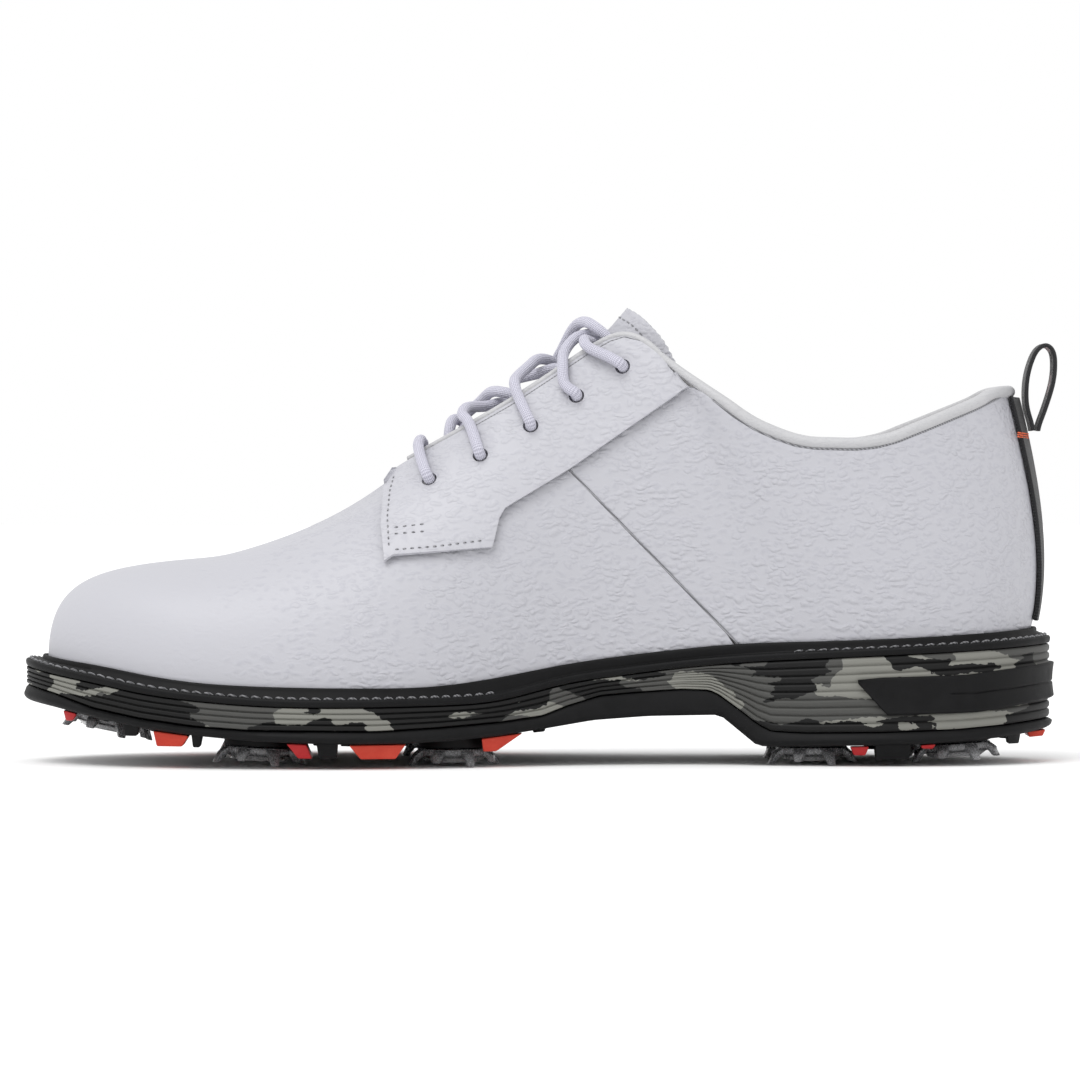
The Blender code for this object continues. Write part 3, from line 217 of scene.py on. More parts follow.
# %% The last
RIBS = np.array([
    # u,    x,   mid y, half y, z,   slope, lean, rise, reach, drop, turn
    (0.00, -98, -6.0, 0, 60.4, 0.08, 1.0, 27.5, 35, 0, 0.0),
    (0.10, -95, -6.0, 0, 60.8, 0.09, 2.0, 28.0, 29, 0, 0.0),
    (0.20, -86, -5.5, 0, 63.1, 0.27, 2.5, 27.0, 27, 0, 0.0),
    (0.30, -68, -4.5, 0, 69.6, 0.48, 2.5, 30.0, 26, 0, 0.0),
    (0.40, -45, -3.0, 0, 83.0, 0.66, 3.0, 34.0, 24, 0, 0.0),
    (0.50, -18, -1.5, 0, 105., 0.72, 3.0, 42.0, 23, 0, 0.0),
    (0.60, 5.0, -0.5, 0, 121., 0.64, 4.0, 46.0, 24, 0, 0.1),
    (0.68, 23., 0.0, 0, 131., 0.55, 5.0, 48.0, 26, 2, 0.3),
    (0.74, 42., 0.0, 19, 133., 0.30, 6.0, 42.0, 9, 20, 0.7),
    (0.80, 66., 0.0, 27, 131., 0.00, 6.5, 34.0, 4, 30, 1.0),
    (0.86, 93., 0.5, 29, 127., 0.00, 7.0, 30.0, 3, 30, 1.0),
    (0.92, 117, 0.5, 23, 122., 0.00, 7.0, 27.0, 4, 30, 1.0),
    (0.96, 131, 0.5, 14, 119., 0.00, 7.5, 24.0, 6, 30, 1.0),
    (1.00, 138.5, 0.5, 0, 118., 0.00, 8.0, 22.0, 8.5, 30, 1.0),
])
RIB_CURVES = [natural(RIBS[:, [0, k]]) for k in range(1, RIBS.shape[1])]
UPPER_SEAT = 0.45


def last_surface(u, t, side):
    """Points on the outside of the upper: u runs toe to heel, t from the feather line up."""
    u, t = np.broadcast_arrays(np.asarray(u, float), np.asarray(t, float))
    x, mid, half, z, slope, lean, rise, reach, drop, turn = [curve(u) for curve in RIB_CURVES]
    half = np.maximum(half, 0)
    half = np.where(u < 0.68, 0, half)
    base, normal = feather(u, side)
    foot = np.concatenate([base, (midsole_top(base[..., 0]) + UPPER_SEAT)[..., None]], -1)
    top = np.stack([x, mid + side * half, z], -1)
    toward = base - top[..., :2]
    toward = toward / np.maximum(np.linalg.norm(toward, axis=-1, keepdims=True), 1e-6)
    turn = np.clip(turn, 0, 1)[..., None]
    way = (1 - turn) * toward + turn * normal
    way = way / np.maximum(np.linalg.norm(way, axis=-1, keepdims=True), 1e-6)
    low = foot + np.concatenate([normal * lean[..., None], rise[..., None]], -1)
    fall = way[..., 0] * reach * slope * (1 - turn[..., 0]) - drop
    high = top + np.concatenate([way * reach[..., None], fall[..., None]], -1)
    s = t[..., None]
    return ((1 - s) ** 3 * foot + 3 * (1 - s) ** 2 * s * low + 3 * (1 - s) * s ** 2 * high + s ** 3 * top)


def beyond(u, t, side):
    """The surface, also a little past the toe, the heel and the ridge, where it is the other side's."""
    over_ridge = (t > 1) & (u < 0.7)
    other = (u < 0) | (u > 1) | over_ridge
    u = np.where(u < 0, -u, np.where(u > 1, 2 - u, u))
    t = np.where(over_ridge, 2 - t, np.clip(t, 0, 1))
    return np.where(other[..., None], last_surface(u, t, -side), last_surface(u, t, side))


def lifted(u, t, side, lift):
    """The surface point moved out along the surface's normal by lift."""
    u, t = np.broadcast_arrays(np.asarray(u, float), np.asarray(t, float))
    du, dt = 0.004, 0.01
    aside = np.where(u < du, np.minimum(t, 0.98), t)      # the toe rib's end is a pole
    along = beyond(u + du, aside, side) - beyond(u - du, aside, side)
    up = beyond(u, aside + dt, side) - beyond(u, aside - dt, side)
    normal = np.cross(along, up) * -side
    size = np.linalg.norm(normal, axis=-1, keepdims=True)
    return last_surface(u, t, side) + normal / np.maximum(size, 1e-9) * np.asarray(lift)[..., None]


def surface_table(side):
    u, t = np.meshgrid(np.linspace(0, 1, 241), np.linspace(0, 1, 121), indexing="ij")
    return u, t, last_surface(u, t, side)


SURFACE = {side: surface_table(side) for side in (MEDIAL, LATERAL)}
ROUNDS, FARTHEST = 8, 0.05      # of the search below: its rounds, and the farthest move in one of them


def on_last(side, x, z):
    """(u, t) of the point of the surface that is at x, z when it is seen from the side."""
    us, ts, points = SURFACE[side]
    near = np.argmin((points[..., 0] - x) ** 2 + (points[..., 2] - z) ** 2)
    at = np.array([us.flat[near], ts.flat[near]])
    step = 0.002
    for _ in range(ROUNDS):
        here = last_surface(at[0], at[1], side)[[0, 2]]
        du = (last_surface(at[0] + step, at[1], side)[[0, 2]] - here) / step
        dt = (last_surface(at[0], at[1] + step, side)[[0, 2]] - here) / step
        slope = np.stack([du, dt], 1)
        move = np.linalg.lstsq(slope.T @ slope + np.eye(2), slope.T @ ([x, z] - here), rcond=None)[0]
        at = np.clip(at + np.clip(move, -FARTHEST, FARTHEST), 0, 0.999)
    return at


def seen_from_above(side, x, y):
    """(u, t) of the point of the surface at x, y."""
    us, ts, points = SURFACE[side]
    near = np.argmin((points[..., 0] - x) ** 2 + (points[..., 1] - y) ** 2 - points[..., 2] * 0.001)
    return us.flat[near], ts.flat[near]


print("ribs:", len(RIBS))


# %% [markdown]
# A pattern cutter draws each panel as an outline. Here the outline is drawn from the side and laid on the
# last, and the patch between its four edges is filled in smoothly (a Coons patch).

# %% Pattern cutting
def drawn(side, points, count):
    """count (u, t) points along an outline drawn in side view."""
    return np.array([on_last(side, x, z) for x, z in spaced(points, count)])


def run(start, end, count):
    """count (u, t) points straight from start to end."""
    return np.linspace(start, end, count)


def coons(bottom, top, left, right):
    """The patch between four edges: bottom and top run left to right, left and right run upwards."""
    w = np.linspace(0, 1, len(bottom))[:, None, None]
    v = np.linspace(0, 1, len(left))[None, :, None]
    flat = (1 - v) * bottom[:, None] + v * top[:, None] + (1 - w) * left[None] + w * right[None]
    corners = ((1 - w) * (1 - v) * bottom[0] + w * (1 - v) * bottom[-1]
               + (1 - w) * v * top[0] + w * v * top[-1])
    return flat - corners


SEAM = [(6.0, 89.4), (57.4, 36.2), (60.8, 31)]       # between vamp and quarter
FACING_FOOT = [(-45, 58.9), (-42.7, 60.6), (-14, 63.4)]
FACING_REAR = [(-14, 63.4), (-13.4, 65.5), (-12.5, 69), (-11.7, 72.1), (-10.1, 74.7), (-6.6, 76.9),
               (9.4, 86.6), (44.9, 111)]
FACING_TOP = [(44.9, 111), (43.6, 112.3), (35.3, 120.7), (30, 124.3), (24.9, 126.2)]
FACING_EDGE = [(24.9, 126.2), (20.4, 125.2), (15.2, 122.3), (4.3, 114.9), (-9.2, 105.9), (-22.1, 98.2),
               (-38.1, 89.1), (-41.7, 86.9), (-43.1, 84.7)]
FACING_FRONT = [(-43.1, 84.7), (-44.8, 79.9), (-45.9, 69), (-45, 58.9)]
TOPLINE = [(50.9, 107.0), (56.8, 102.2), (62.8, 98.4), (68.7, 95.7), (74.7, 93.6), (80.6, 92.7), (92.5, 92.4),
           (98.5, 93.0), (104.4, 94.5), (116.3, 99.2), (128.2, 104), (137.5, 108.5)]
THROAT = [(-39.5, 80.5), (-30, 76.5), (-18, 77), (-8, 83), (2, 88.6)]
EYELETS = [(-32.4, 83.6), (-17.7, 91), (-3.2, 99.8), (10.4, 108.7), (24.3, 117.5)]
EYELET_HOLE = 4.6
FACING_LIFT, FACING_THICK, FACING_ROWS = 2.25, 1.2, 24
EDGE_TRIM = (0.9, -1.3)           # the facing's edge is trimmed back to make room for the binding
BACK_TOP = (140.6, 108.2)         # the upper's highest point at the heel
BACK_SEAM = 0.9992
RIDGE_END, RIDGE_PULL = 0.408, 0.004


def trimmed(line, dx, dz=0.0):
    return [(x + dx, z + dz) for x, z in line]


def vamp_patch(side, columns=60, rows=26, pull=0.0):
    seam = trimmed(SEAM, -0.4 - pull)
    seam_base = on_last(side, *seam[-1])[0]
    ridge = (RIDGE_END - pull * RIDGE_PULL, 1)
    throat = np.vstack([run(ridge, on_last(side, *THROAT[0]), 2)[:-1],
                        drawn(side, trimmed(THROAT, -pull, -pull) + [seam[0]], rows)])
    seam_side = np.vstack([drawn(side, seam[:2], rows)[:-1], [(seam_base, 0)]])
    right = np.vstack([throat[:-1], seam_side])
    left = run((0, 1), (0, 0), len(right))
    bottom = run((0, 1), ridge, columns)
    top = run((0, 0), (seam_base, 0), columns)
    return coons(bottom, top, left, right)


def quarter_patch(side, columns=60, rows=36, pull=0.0, heel=1.0):
    seam = trimmed(SEAM, 0.3 + pull)
    seam_base = on_last(side, *seam[-1])[0]
    back = on_last(side, *BACK_TOP)
    left = np.vstack([[(seam_base, 0)], drawn(side, seam[1::-1], rows - 1)])
    line = [seam[0], (42.6, 111.4), (46.5, 110.2)] + TOPLINE
    top = np.vstack([drawn(side, line, columns - 1), [(heel, back[1])]])
    bottom = run((seam_base, 0), (heel, 0), columns)
    right = run((heel, 0), (heel, back[1]), rows)
    return coons(bottom, top, left, right)


def facing_patch(side):
    bottom = np.vstack([drawn(side, FACING_FOOT, 22)[:-1], drawn(side, FACING_REAR, 46)])
    edge = trimmed(FACING_EDGE, *EDGE_TRIM)
    top = drawn(side, edge[::-1], len(bottom))
    left = drawn(side, FACING_FRONT[:0:-1] + edge[-1:], FACING_ROWS)
    right = drawn(side, FACING_TOP[:-1] + edge[:1], FACING_ROWS)
    return coons(bottom, top, left, right)


def lining_lift(u):
    """The lining lies behind the toe puff and the heel counter, and next to the leather between them."""
    toe = np.clip((0.32 - u) / 0.10, 0, 1)
    heel = np.clip((u - 0.68) / 0.08, 0, 1)
    return -2.5 - 2.2 * np.maximum(toe, heel)


print("eyelets on each facing:", len(EYELETS))


# %% [markdown]
# Every piece is finished in the same few steps, so these are written once: modifiers are applied like by
# hand, with the piece alone selected, and each piece is told its finish, the body that carries it and the
# plain solids that it stands for.

# %% Building helpers
def select_only(part):
    bpy.ops.object.select_all(action="DESELECT")
    part.select_set(True)
    bpy.context.view_layer.objects.active = part


def apply_all(part):
    select_only(part)
    for change in list(part.modifiers):
        bpy.ops.object.modifier_apply(modifier=change.name)
    return part


def join_points(part, within=0.004, outwards=False):
    """Merges points that lie together and, on a closed piece, turns every face outwards."""
    select_only(part)
    bpy.ops.object.mode_set(mode="EDIT")
    bpy.ops.mesh.select_all(action="SELECT")
    bpy.ops.mesh.remove_doubles(threshold=within * MM)
    if outwards:
        bpy.ops.mesh.normals_make_consistent(inside=False)
    bpy.ops.object.mode_set(mode="OBJECT")
    return part


def new_piece(name, points, faces):
    """A piece from points in millimetres of the drawing."""
    mesh = bpy.data.meshes.new(name)
    mesh.from_pydata([tuple(p) for p in placed(points)], [], [tuple(map(int, face)) for face in faces])
    part = bpy.data.objects.new(name, mesh)
    bpy.context.scene.collection.objects.link(part)
    return part


def bevelled(part, width, segments, angle):
    edge = part.modifiers.new("edge", "BEVEL")
    edge.width = width * MM
    edge.segments = segments
    edge.limit_method = "ANGLE"
    edge.angle_limit = math.radians(angle)
    return apply_all(part)


def boolean(part, other, operation):
    change = part.modifiers.new(operation.lower(), "BOOLEAN")
    change.operation = operation
    change.object = other
    change.solver = "EXACT"
    apply_all(part)
    bpy.data.objects.remove(other)
    return part


def dressed(part, finishes, body="shoe", stands_for=(), smooth=None):
    """The last step of a piece: finish, body, and the solids that it stands for."""
    part.data.materials.clear()
    for finish in finishes if isinstance(finishes, list) else [finishes]:
        part.data.materials.append(finish)
    select_only(part)
    if smooth is None:
        bpy.ops.object.shade_smooth()
    else:
        bpy.ops.object.shade_smooth_by_angle(angle=math.radians(smooth))
    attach(part, body)
    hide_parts(*stands_for)
    print(part.name, len(part.data.polygons), "faces")
    return part


# %% [markdown]
# Tubes, ribbons and walls are all grids: rows of points swept along a line. The grid carries a UV map in
# millimetres, so a braid or a weave can follow the cord or the ribbon round its bends.

# %% Grids and cords
def grid_faces(rows, columns, first=0, flip=False):
    faces = []
    for i in range(rows - 1):
        for j in range(columns - 1):
            a = first + i * columns + j
            face = (a, a + columns, a + columns + 1, a + 1)
            faces.append(face[::-1] if flip else face)
    return faces


def grid_piece(name, points, uv, end_caps=True):
    """A closed sweep: points[i, j] goes along i and round j, and its last column lies on its first."""
    rows, columns = points.shape[:2]
    faces = grid_faces(rows, columns)
    corners = [index for face in faces for index in face]
    if end_caps:
        faces += [tuple(range(columns - 1)), tuple((rows - 1) * columns + j for j in range(columns - 1))]
    part = new_piece(name, points.reshape(-1, 3), faces)
    layer = part.data.uv_layers.new(name="UVMap")
    flat = uv.reshape(-1, 2)
    for corner, index in enumerate(corners):
        layer.data[corner].uv = flat[index]
    return join_points(part, 0.002, outwards=True)


def frames(line):
    """Two directions square to the line at each point, which turn as little as they can along it."""
    way = np.gradient(line, axis=0)
    way /= np.linalg.norm(way, axis=1, keepdims=True)
    aside = np.cross(way[0], (0.3, 0.9, 0.2))
    rows = []
    for step in way:
        aside = aside - step * np.dot(aside, step)
        aside = aside / np.linalg.norm(aside)
        rows.append(aside)
    rows = np.array(rows)
    return rows, np.cross(way, rows)


def cord(name, line, radius, sides=12):
    """A round cord along the line. The radius is one number, or one for each point."""
    line = np.asarray(line, float)
    across, up = frames(line)
    turn = np.linspace(0, 2 * math.pi, sides + 1)
    size = np.broadcast_to(radius, len(line))[:, None]
    ring_x, ring_y = size * np.cos(turn), size * np.sin(turn)
    points = line[:, None] + across[:, None] * ring_x[..., None] + up[:, None] * ring_y[..., None]
    along = np.concatenate([[0], np.cumsum(np.linalg.norm(np.diff(line, axis=0), axis=1))])
    uv = np.stack(np.meshgrid(np.max(radius) * turn, along), -1)
    return grid_piece(name, points, uv)


# %% [markdown]
# A row of machine stitching is one mesh of many small rounded stitches. Each dips into the leather at both
# ends, which is what makes a row read as thread and not as a line. A stitch has only a few faces.

# %% Stitches
def stitch_rows(name, rows, length, pitch, radius):
    """rows is a list of (line, out): points in a row and the direction out of the surface at each."""
    share = np.array([-0.5, -0.36, 0.0, 0.36, 0.5])
    swell = np.array([0.45, 0.9, 1.0, 0.9, 0.45])
    sink = np.array([-0.9, -0.15, 0.35, -0.15, -0.9])
    turn = np.linspace(0, 2 * math.pi, 6, endpoint=False)
    points, faces = [], []
    for line, out in rows:
        count = max(2, int(np.linalg.norm(np.diff(line, axis=0), axis=1).sum() / pitch))
        places = spaced(np.hstack([line, out]), 2 * count + 1)
        for before, here, after in zip(places[:-2:2], places[1:-1:2], places[2::2]):
            way = after[:3] - before[:3]
            way /= np.linalg.norm(way)
            normal = here[3:] / np.linalg.norm(here[3:])
            aside = np.cross(way, normal)
            first = len(points)
            for along, size, rise in zip(share * length, swell * radius, sink * radius):
                middle = here[:3] + way * along + normal * rise
                points += [middle + size * (aside * math.cos(a) + normal * math.sin(a)) for a in turn]
            for ring_at in range(4):
                for k in range(6):
                    a, b = first + ring_at * 6 + k, first + ring_at * 6 + (k + 1) % 6
                    faces.append((a, a + 6, b + 6, b))
            faces += [tuple(first + k for k in range(6)), tuple(first + 24 + k for k in reversed(range(6)))]
    return join_points(new_piece(name, points, faces), 0.0001, outwards=True)


def on_panel(side, outline, lift, count=60):
    """A line drawn in side view, laid on the last at this lift, with the directions out of it."""
    u, t = drawn(side, outline, count).T
    line = lifted(u, t, side, np.full(count, lift))
    return line, line - lifted(u, t, side, np.full(count, lift - 1.0))


# %% [markdown]
# Finishes. Each one starts from the real material and how it was made. Colours are written as the hex codes
# of a colour picker and turned to linear light by one function, and one function adds a node. Patterns read
# Object coordinates in metres, so a grain of so many millimetres is a scale of 1000 over that size.

# %% Finishing helpers
def linear(code):
    shares = [int(code[i:i + 2], 16) / 255 for i in (0, 2, 4)]
    return [s / 12.92 if s <= 0.04045 else ((s + 0.055) / 1.055) ** 2.4 for s in shares] + [1.0]


def add(tree, kind, settings=None, links=None):
    """Adds a shader node. settings are its options. links are its inputs, by name or in a list in their
    order, and each is a value or another node's output."""
    node = tree.nodes.new("ShaderNode" + kind)
    for name, value in (settings or {}).items():
        setattr(node, name, value)
    for name, value in links.items() if isinstance(links, dict) else enumerate(links or []):
        if isinstance(value, bpy.types.NodeSocket):
            tree.links.new(value, node.inputs[name])
        else:
            node.inputs[name].default_value = value
    return node


def per_mm(size):
    """The scale of a pattern whose cells are this many millimetres across."""
    return 1000.0 / size


def new_finish(name):
    made = bpy.data.materials.new(name)
    made.use_nodes = True
    made.node_tree.nodes.clear()
    return made, made.node_tree


def surface(tree, links, bump, strength, distance):
    """A Principled shader with these inputs, and a bump of this depth in millimetres."""
    relief = add(tree, "Bump", None, {"Strength": strength, "Distance": distance * MM, "Height": bump})
    shader = add(tree, "BsdfPrincipled", None, {**links, "Normal": relief.outputs["Normal"]})
    add(tree, "OutputMaterial", None, {"Surface": shader.outputs["BSDF"]})


def ramp(tree, value, stops, kind="LINEAR"):
    """A colour ramp: stops are (position, hex code)."""
    node = add(tree, "ValToRGB", None, {"Fac": value})
    node.color_ramp.interpolation = kind
    while len(node.color_ramp.elements) < len(stops):
        node.color_ramp.elements.new(0.5)
    for element, (at, code) in zip(node.color_ramp.elements, stops):
        element.position = at
        element.color = linear(code)
    return node.outputs["Color"]


def maths(tree, operation, *values):
    """The sum, product or other result of the values."""
    return add(tree, "Math", {"operation": operation}, values).outputs["Value"]


print("white in linear light:", linear("FFFFFF"))


# %% [markdown]
# Upper leather: full-grain calf, drum tumbled and spray finished in cool white. Tumbling gives rounded
# pebbles of 1 to 2 mm with fine creases between them. The toe was pulled tight over the last, so its
# grain fades towards the toe, and the finish is satin, with a faint gloss on the high places. A slightly
# darker colour round each pebble is painted shade, where the creases fall into shadow.

# %% Tumbled white leather
DRIFT = 4.5 * MM        # how far the pebbles wander off an even grid


def tumbled_leather(name, light, crease_shade, from_x, to_x, pebble, depth):
    """Pebbles this wide and deep, in millimetres, which fade in between from_x and to_x of the drawing."""
    made, tree = new_finish(name)
    place = add(tree, "TexCoord").outputs["Object"]
    drift = add(tree, "TexNoise", None, {"Vector": place, "Scale": per_mm(6.0), "Detail": 3.0})
    moved = add(tree, "MixRGB", {"blend_type": "ADD"},
                {"Fac": DRIFT, "Color1": place, "Color2": drift.outputs["Color"]}).outputs["Color"]
    stretch = add(tree, "Mapping", None, {"Vector": moved, "Scale": (0.45, 0.8, 1.05)}).outputs["Vector"]
    cells = add(tree, "TexVoronoi", {"feature": "SMOOTH_F1"},
                {"Vector": stretch, "Scale": per_mm(pebble), "Smoothness": 0.35}).outputs["Distance"]
    folds = add(tree, "MapRange", {"interpolation_type": "SMOOTHSTEP"},
                {"Value": cells, "From Min": 0.75, "From Max": 0.05}).outputs["Result"]
    pores = add(tree, "TexNoise", None, {"Vector": place, "Scale": per_mm(0.5), "Detail": 4.0,
                                         "Roughness": 0.7}).outputs["Fac"]
    swell = add(tree, "TexNoise", None,
                {"Vector": place, "Scale": per_mm(11.0), "Detail": 2.0}).outputs["Fac"]
    x = add(tree, "SeparateXYZ", None, {"Vector": place}).outputs["X"]
    reach = maths(tree, "ADD", x, maths(tree, "MULTIPLY", swell, 0.04))
    shown = add(tree, "MapRange", {"interpolation_type": "SMOOTHSTEP"},
                {"Value": reach, "From Min": from_x * MM, "From Max": to_x * MM,
                 "To Min": 0.10, "To Max": 1.0}).outputs["Result"]
    patchy = add(tree, "MapRange", None, {"Value": swell, "From Min": 0.35, "From Max": 0.62,
                                          "To Min": 0.35, "To Max": 1.0}).outputs["Result"]
    grain = maths(tree, "MULTIPLY", maths(tree, "MULTIPLY", folds, shown), patchy)
    height = maths(tree, "ADD", grain, maths(tree, "MULTIPLY", pores, 0.12))
    # The third stop of this ramp is painted shade: a slightly darker band round each pebble, where the
    # leather dips into the creases.
    colour = ramp(tree, grain, [(0.0, light), (0.12, light), (0.3, crease_shade), (0.42, light)])
    gloss = add(tree, "MapRange", None, {"Value": pores, "From Min": 0.3, "From Max": 0.7,
                                         "To Min": 0.44, "To Max": 0.56}).outputs["Result"]
    surface(tree, {"Base Color": colour, "Roughness": gloss, "IOR": 1.45, "Coat Weight": 0.08,
                   "Coat Roughness": 0.35}, height, 0.8, depth)
    return made


# The second colour of each leather is painted crease shade.
WHITE_LEATHER = tumbled_leather("tumbled_calf_leather_white", "B1B1B7", "ABABB2", -95, 15, 1.5, 0.42)
FACING_LEATHER = tumbled_leather("tumbled_calf_leather_facing", "B4B4BA", "AEAEB5", -140, -110, 1.5, 0.38)
FOLDED_LEATHER = tumbled_leather("folded_calf_leather_edge", "B4B4B6", "AEAEB1", -140, -110, 0.9, 0.12)
print("leathers:", WHITE_LEATHER.name, FACING_LEATHER.name, FOLDED_LEATHER.name)

# %% [markdown]
# Lining and footbed: the lining is smooth sheepskin, pale warm grey and matt, with fine wrinkles. The
# footbed is the same skin over foam, punched with small air holes in rows.

# %% Lining and footbed
HOLE_PITCH, HOLE_SHADE = 5.0, "4A4744"


def sheepskin(name, light, dark, holes=False):
    made, tree = new_finish(name)
    place = add(tree, "TexCoord").outputs["Object"]
    wrinkle = add(tree, "TexNoise", None, {"Vector": place, "Scale": per_mm(1.4), "Detail": 6.0,
                                           "Roughness": 0.65, "Distortion": 0.6}).outputs["Fac"]
    tone = add(tree, "TexNoise", None, {"Vector": place, "Scale": per_mm(22.0)}).outputs["Fac"]
    colour = ramp(tree, maths(tree, "ADD", maths(tree, "MULTIPLY", wrinkle, 0.5),
                              maths(tree, "MULTIPLY", tone, 0.5)), [(0.3, dark), (0.7, light)])
    height = wrinkle
    if holes:
        parts = add(tree, "SeparateXYZ", None, {"Vector": place})
        across = [maths(tree, "PINGPONG", parts.outputs[axis], HOLE_PITCH / 2 * MM) for axis in ("X", "Y")]
        squares = [maths(tree, "POWER", value, 2.0) for value in across]
        away = maths(tree, "SQRT", maths(tree, "ADD", *squares))
        hole = add(tree, "MapRange", None, {"Value": away, "From Min": 0.55 * MM, "From Max": 0.75 * MM})
        colour = add(tree, "MixRGB", None, {"Fac": hole.outputs["Result"], "Color1": linear(HOLE_SHADE),
                                            "Color2": colour}).outputs["Color"]
        height = maths(tree, "ADD", maths(tree, "MULTIPLY", wrinkle, 0.3), hole.outputs["Result"])
    surface(tree, {"Base Color": colour, "Roughness": 0.72, "IOR": 1.45, "Sheen Weight": 0.15,
                   "Sheen Roughness": 0.5}, height, 0.4, 0.25)
    return made


LINING_LEATHER = sheepskin("sheepskin_lining", "B9B4AE", "A39E98")
FOOTBED_LEATHER = sheepskin("perforated_sheepskin_footbed", "AAA6A1", "918D88", holes=True)
print("inside:", LINING_LEATHER.name, FOOTBED_LEATHER.name)

# %% [markdown]
# Rubber and moulded plastic. The welt and outsole are carbon-black rubber pressed in a steel mould: nearly
# black, with a fine matt texture and paler rubbed spots. The lugs are glossy red-orange urethane, which
# comes out of a mould with the same kind of skin, so one function makes them all.

# %% Black rubber
def pressed_rubber(name, dark, pale, roughness, texture=0.35):
    made, tree = new_finish(name)
    place = add(tree, "TexCoord").outputs["Object"]
    fine = add(tree, "TexNoise", None,
               {"Vector": place, "Scale": per_mm(texture), "Detail": 3.0}).outputs["Fac"]
    dust = add(tree, "TexNoise", None, {"Vector": place, "Scale": per_mm(6.0), "Detail": 5.0,
                                        "Roughness": 0.6}).outputs["Fac"]
    colour = ramp(tree, dust, [(0.35, dark), (0.8, pale)])
    worn = add(tree, "MapRange", None,
               {"Value": dust, "From Min": 0.3, "From Max": 0.7, "To Min": roughness - 0.06,
                "To Max": roughness + 0.1}).outputs["Result"]
    surface(tree, {"Base Color": colour, "Roughness": worn, "IOR": 1.52, "Specular IOR Level": 0.14},
            fine, 0.35, 0.08)
    return made


BLACK_RUBBER = pressed_rubber("pressed_carbon_black_rubber", "0B0B0C", "161617", 0.55)
RED_URETHANE = pressed_rubber("moulded_red_urethane", "B93A2C", "C74A3A", 0.33, 0.5)
DARK_RED_URETHANE = pressed_rubber("moulded_dark_red_urethane", "A32426", "B43234", 0.33, 0.5)
print("pressed:", BLACK_RUBBER.name, RED_URETHANE.name, DARK_RED_URETHANE.name)

# %% [markdown]
# The midsole is the same rubber mixed from three colours in a camouflage. The mix is pressed lengthways, so
# its patches are long and low: the noise is stretched along the shoe, and a finer noise frays its borders.

# %% Camouflage rubber
def camouflage(name, pale, middle, dark):
    made, tree = new_finish(name)
    place = add(tree, "TexCoord").outputs["Object"]
    fray = add(tree, "TexNoise", None,
               {"Vector": place, "Scale": per_mm(1.6), "Detail": 2.0}).outputs["Color"]
    moved = add(tree, "MixRGB", {"blend_type": "ADD"},
                {"Fac": 0.0016, "Color1": place, "Color2": fray}).outputs["Color"]
    flow = add(tree, "Mapping", None, {"Vector": moved, "Rotation": (0.0, 0.1, 0.0),
                                       "Scale": (0.42, 0.42, 1.1)}).outputs["Vector"]
    broad = add(tree, "TexNoise", None, {"Vector": flow, "Scale": per_mm(13.0), "Detail": 1.6,
                                         "Roughness": 0.5, "Distortion": 0.5}).outputs["Fac"]
    shifted = add(tree, "Mapping", None, {"Vector": flow, "Location": (0.31, 0.17, 0.05)}).outputs["Vector"]
    black = add(tree, "TexNoise", None, {"Vector": shifted, "Scale": per_mm(12.0), "Detail": 1.8,
                                         "Roughness": 0.5, "Distortion": 0.6}).outputs["Fac"]
    ground = ramp(tree, broad, [(0.0, middle), (0.49, pale)], "CONSTANT")
    mask = maths(tree, "GREATER_THAN", black, 0.52)
    colour = add(tree, "MixRGB", None,
                 {"Fac": mask, "Color1": ground, "Color2": linear(dark)}).outputs["Color"]
    fine = add(tree, "TexNoise", None,
               {"Vector": place, "Scale": per_mm(0.4), "Detail": 3.0}).outputs["Fac"]
    surface(tree, {"Base Color": colour, "Roughness": 0.52, "IOR": 1.5, "Specular IOR Level": 0.2},
            fine, 0.3, 0.08)
    return made


CAMO_RUBBER = camouflage("mixed_camouflage_rubber", "7A7A74", "484846", "131313")
print("midsole:", CAMO_RUBBER.name)

# %% [markdown]
# Cleats are injection moulded from smoked clear urethane: light passes through the thin legs, the thick hub
# looks dark, and flow lines and scratches break the gloss. The sockets that they screw into are of nylon.

# %% Smoked urethane
def smoked_urethane(name, tint, streak, clear):
    made, tree = new_finish(name)
    place = add(tree, "TexCoord").outputs["Object"]
    flow = add(tree, "TexNoise", None, {"Vector": place, "Scale": per_mm(3.0), "Detail": 5.0,
                                        "Distortion": 1.5}).outputs["Fac"]
    scratch = add(tree, "TexNoise", None,
                  {"Vector": place, "Scale": per_mm(0.6), "Detail": 4.0}).outputs["Fac"]
    haze = add(tree, "MapRange", None, {"Value": scratch, "From Min": 0.35, "From Max": 0.65,
                                        "To Min": 0.16, "To Max": 0.34}).outputs["Result"]
    colour = ramp(tree, flow, [(0.3, tint), (0.75, streak)])
    surface(tree, {"Base Color": colour, "Roughness": haze, "IOR": 1.5, "Transmission Weight": clear},
            flow, 0.1, 0.1)
    return made


SMOKED_URETHANE = smoked_urethane("smoked_clear_urethane", "78787A", "A8A8AA", 0.5)
BLACK_NYLON = pressed_rubber("moulded_black_nylon", "18181A", "232325", 0.38, 0.6)
print("cleats and sockets:", SMOKED_URETHANE.name, BLACK_NYLON.name)

# %% [markdown]
# Textiles. The lace is a round tubular braid: two sets of yarns cross at an angle, so its surface is a net
# of small diamonds. Webbing is woven plain: warp yarns run along the ribbon and the weft crosses them. Both
# follow the UV map, which is in millimetres. The thread is bonded polyester with a visible twist. Real lace
# yarns are about half a millimetre wide, too fine to show, so they are drawn twice as wide.

# %% Braid, webbing and thread
def uv_sine(tree, value, period):
    return maths(tree, "SINE", maths(tree, "MULTIPLY", value, 2 * math.pi / period))


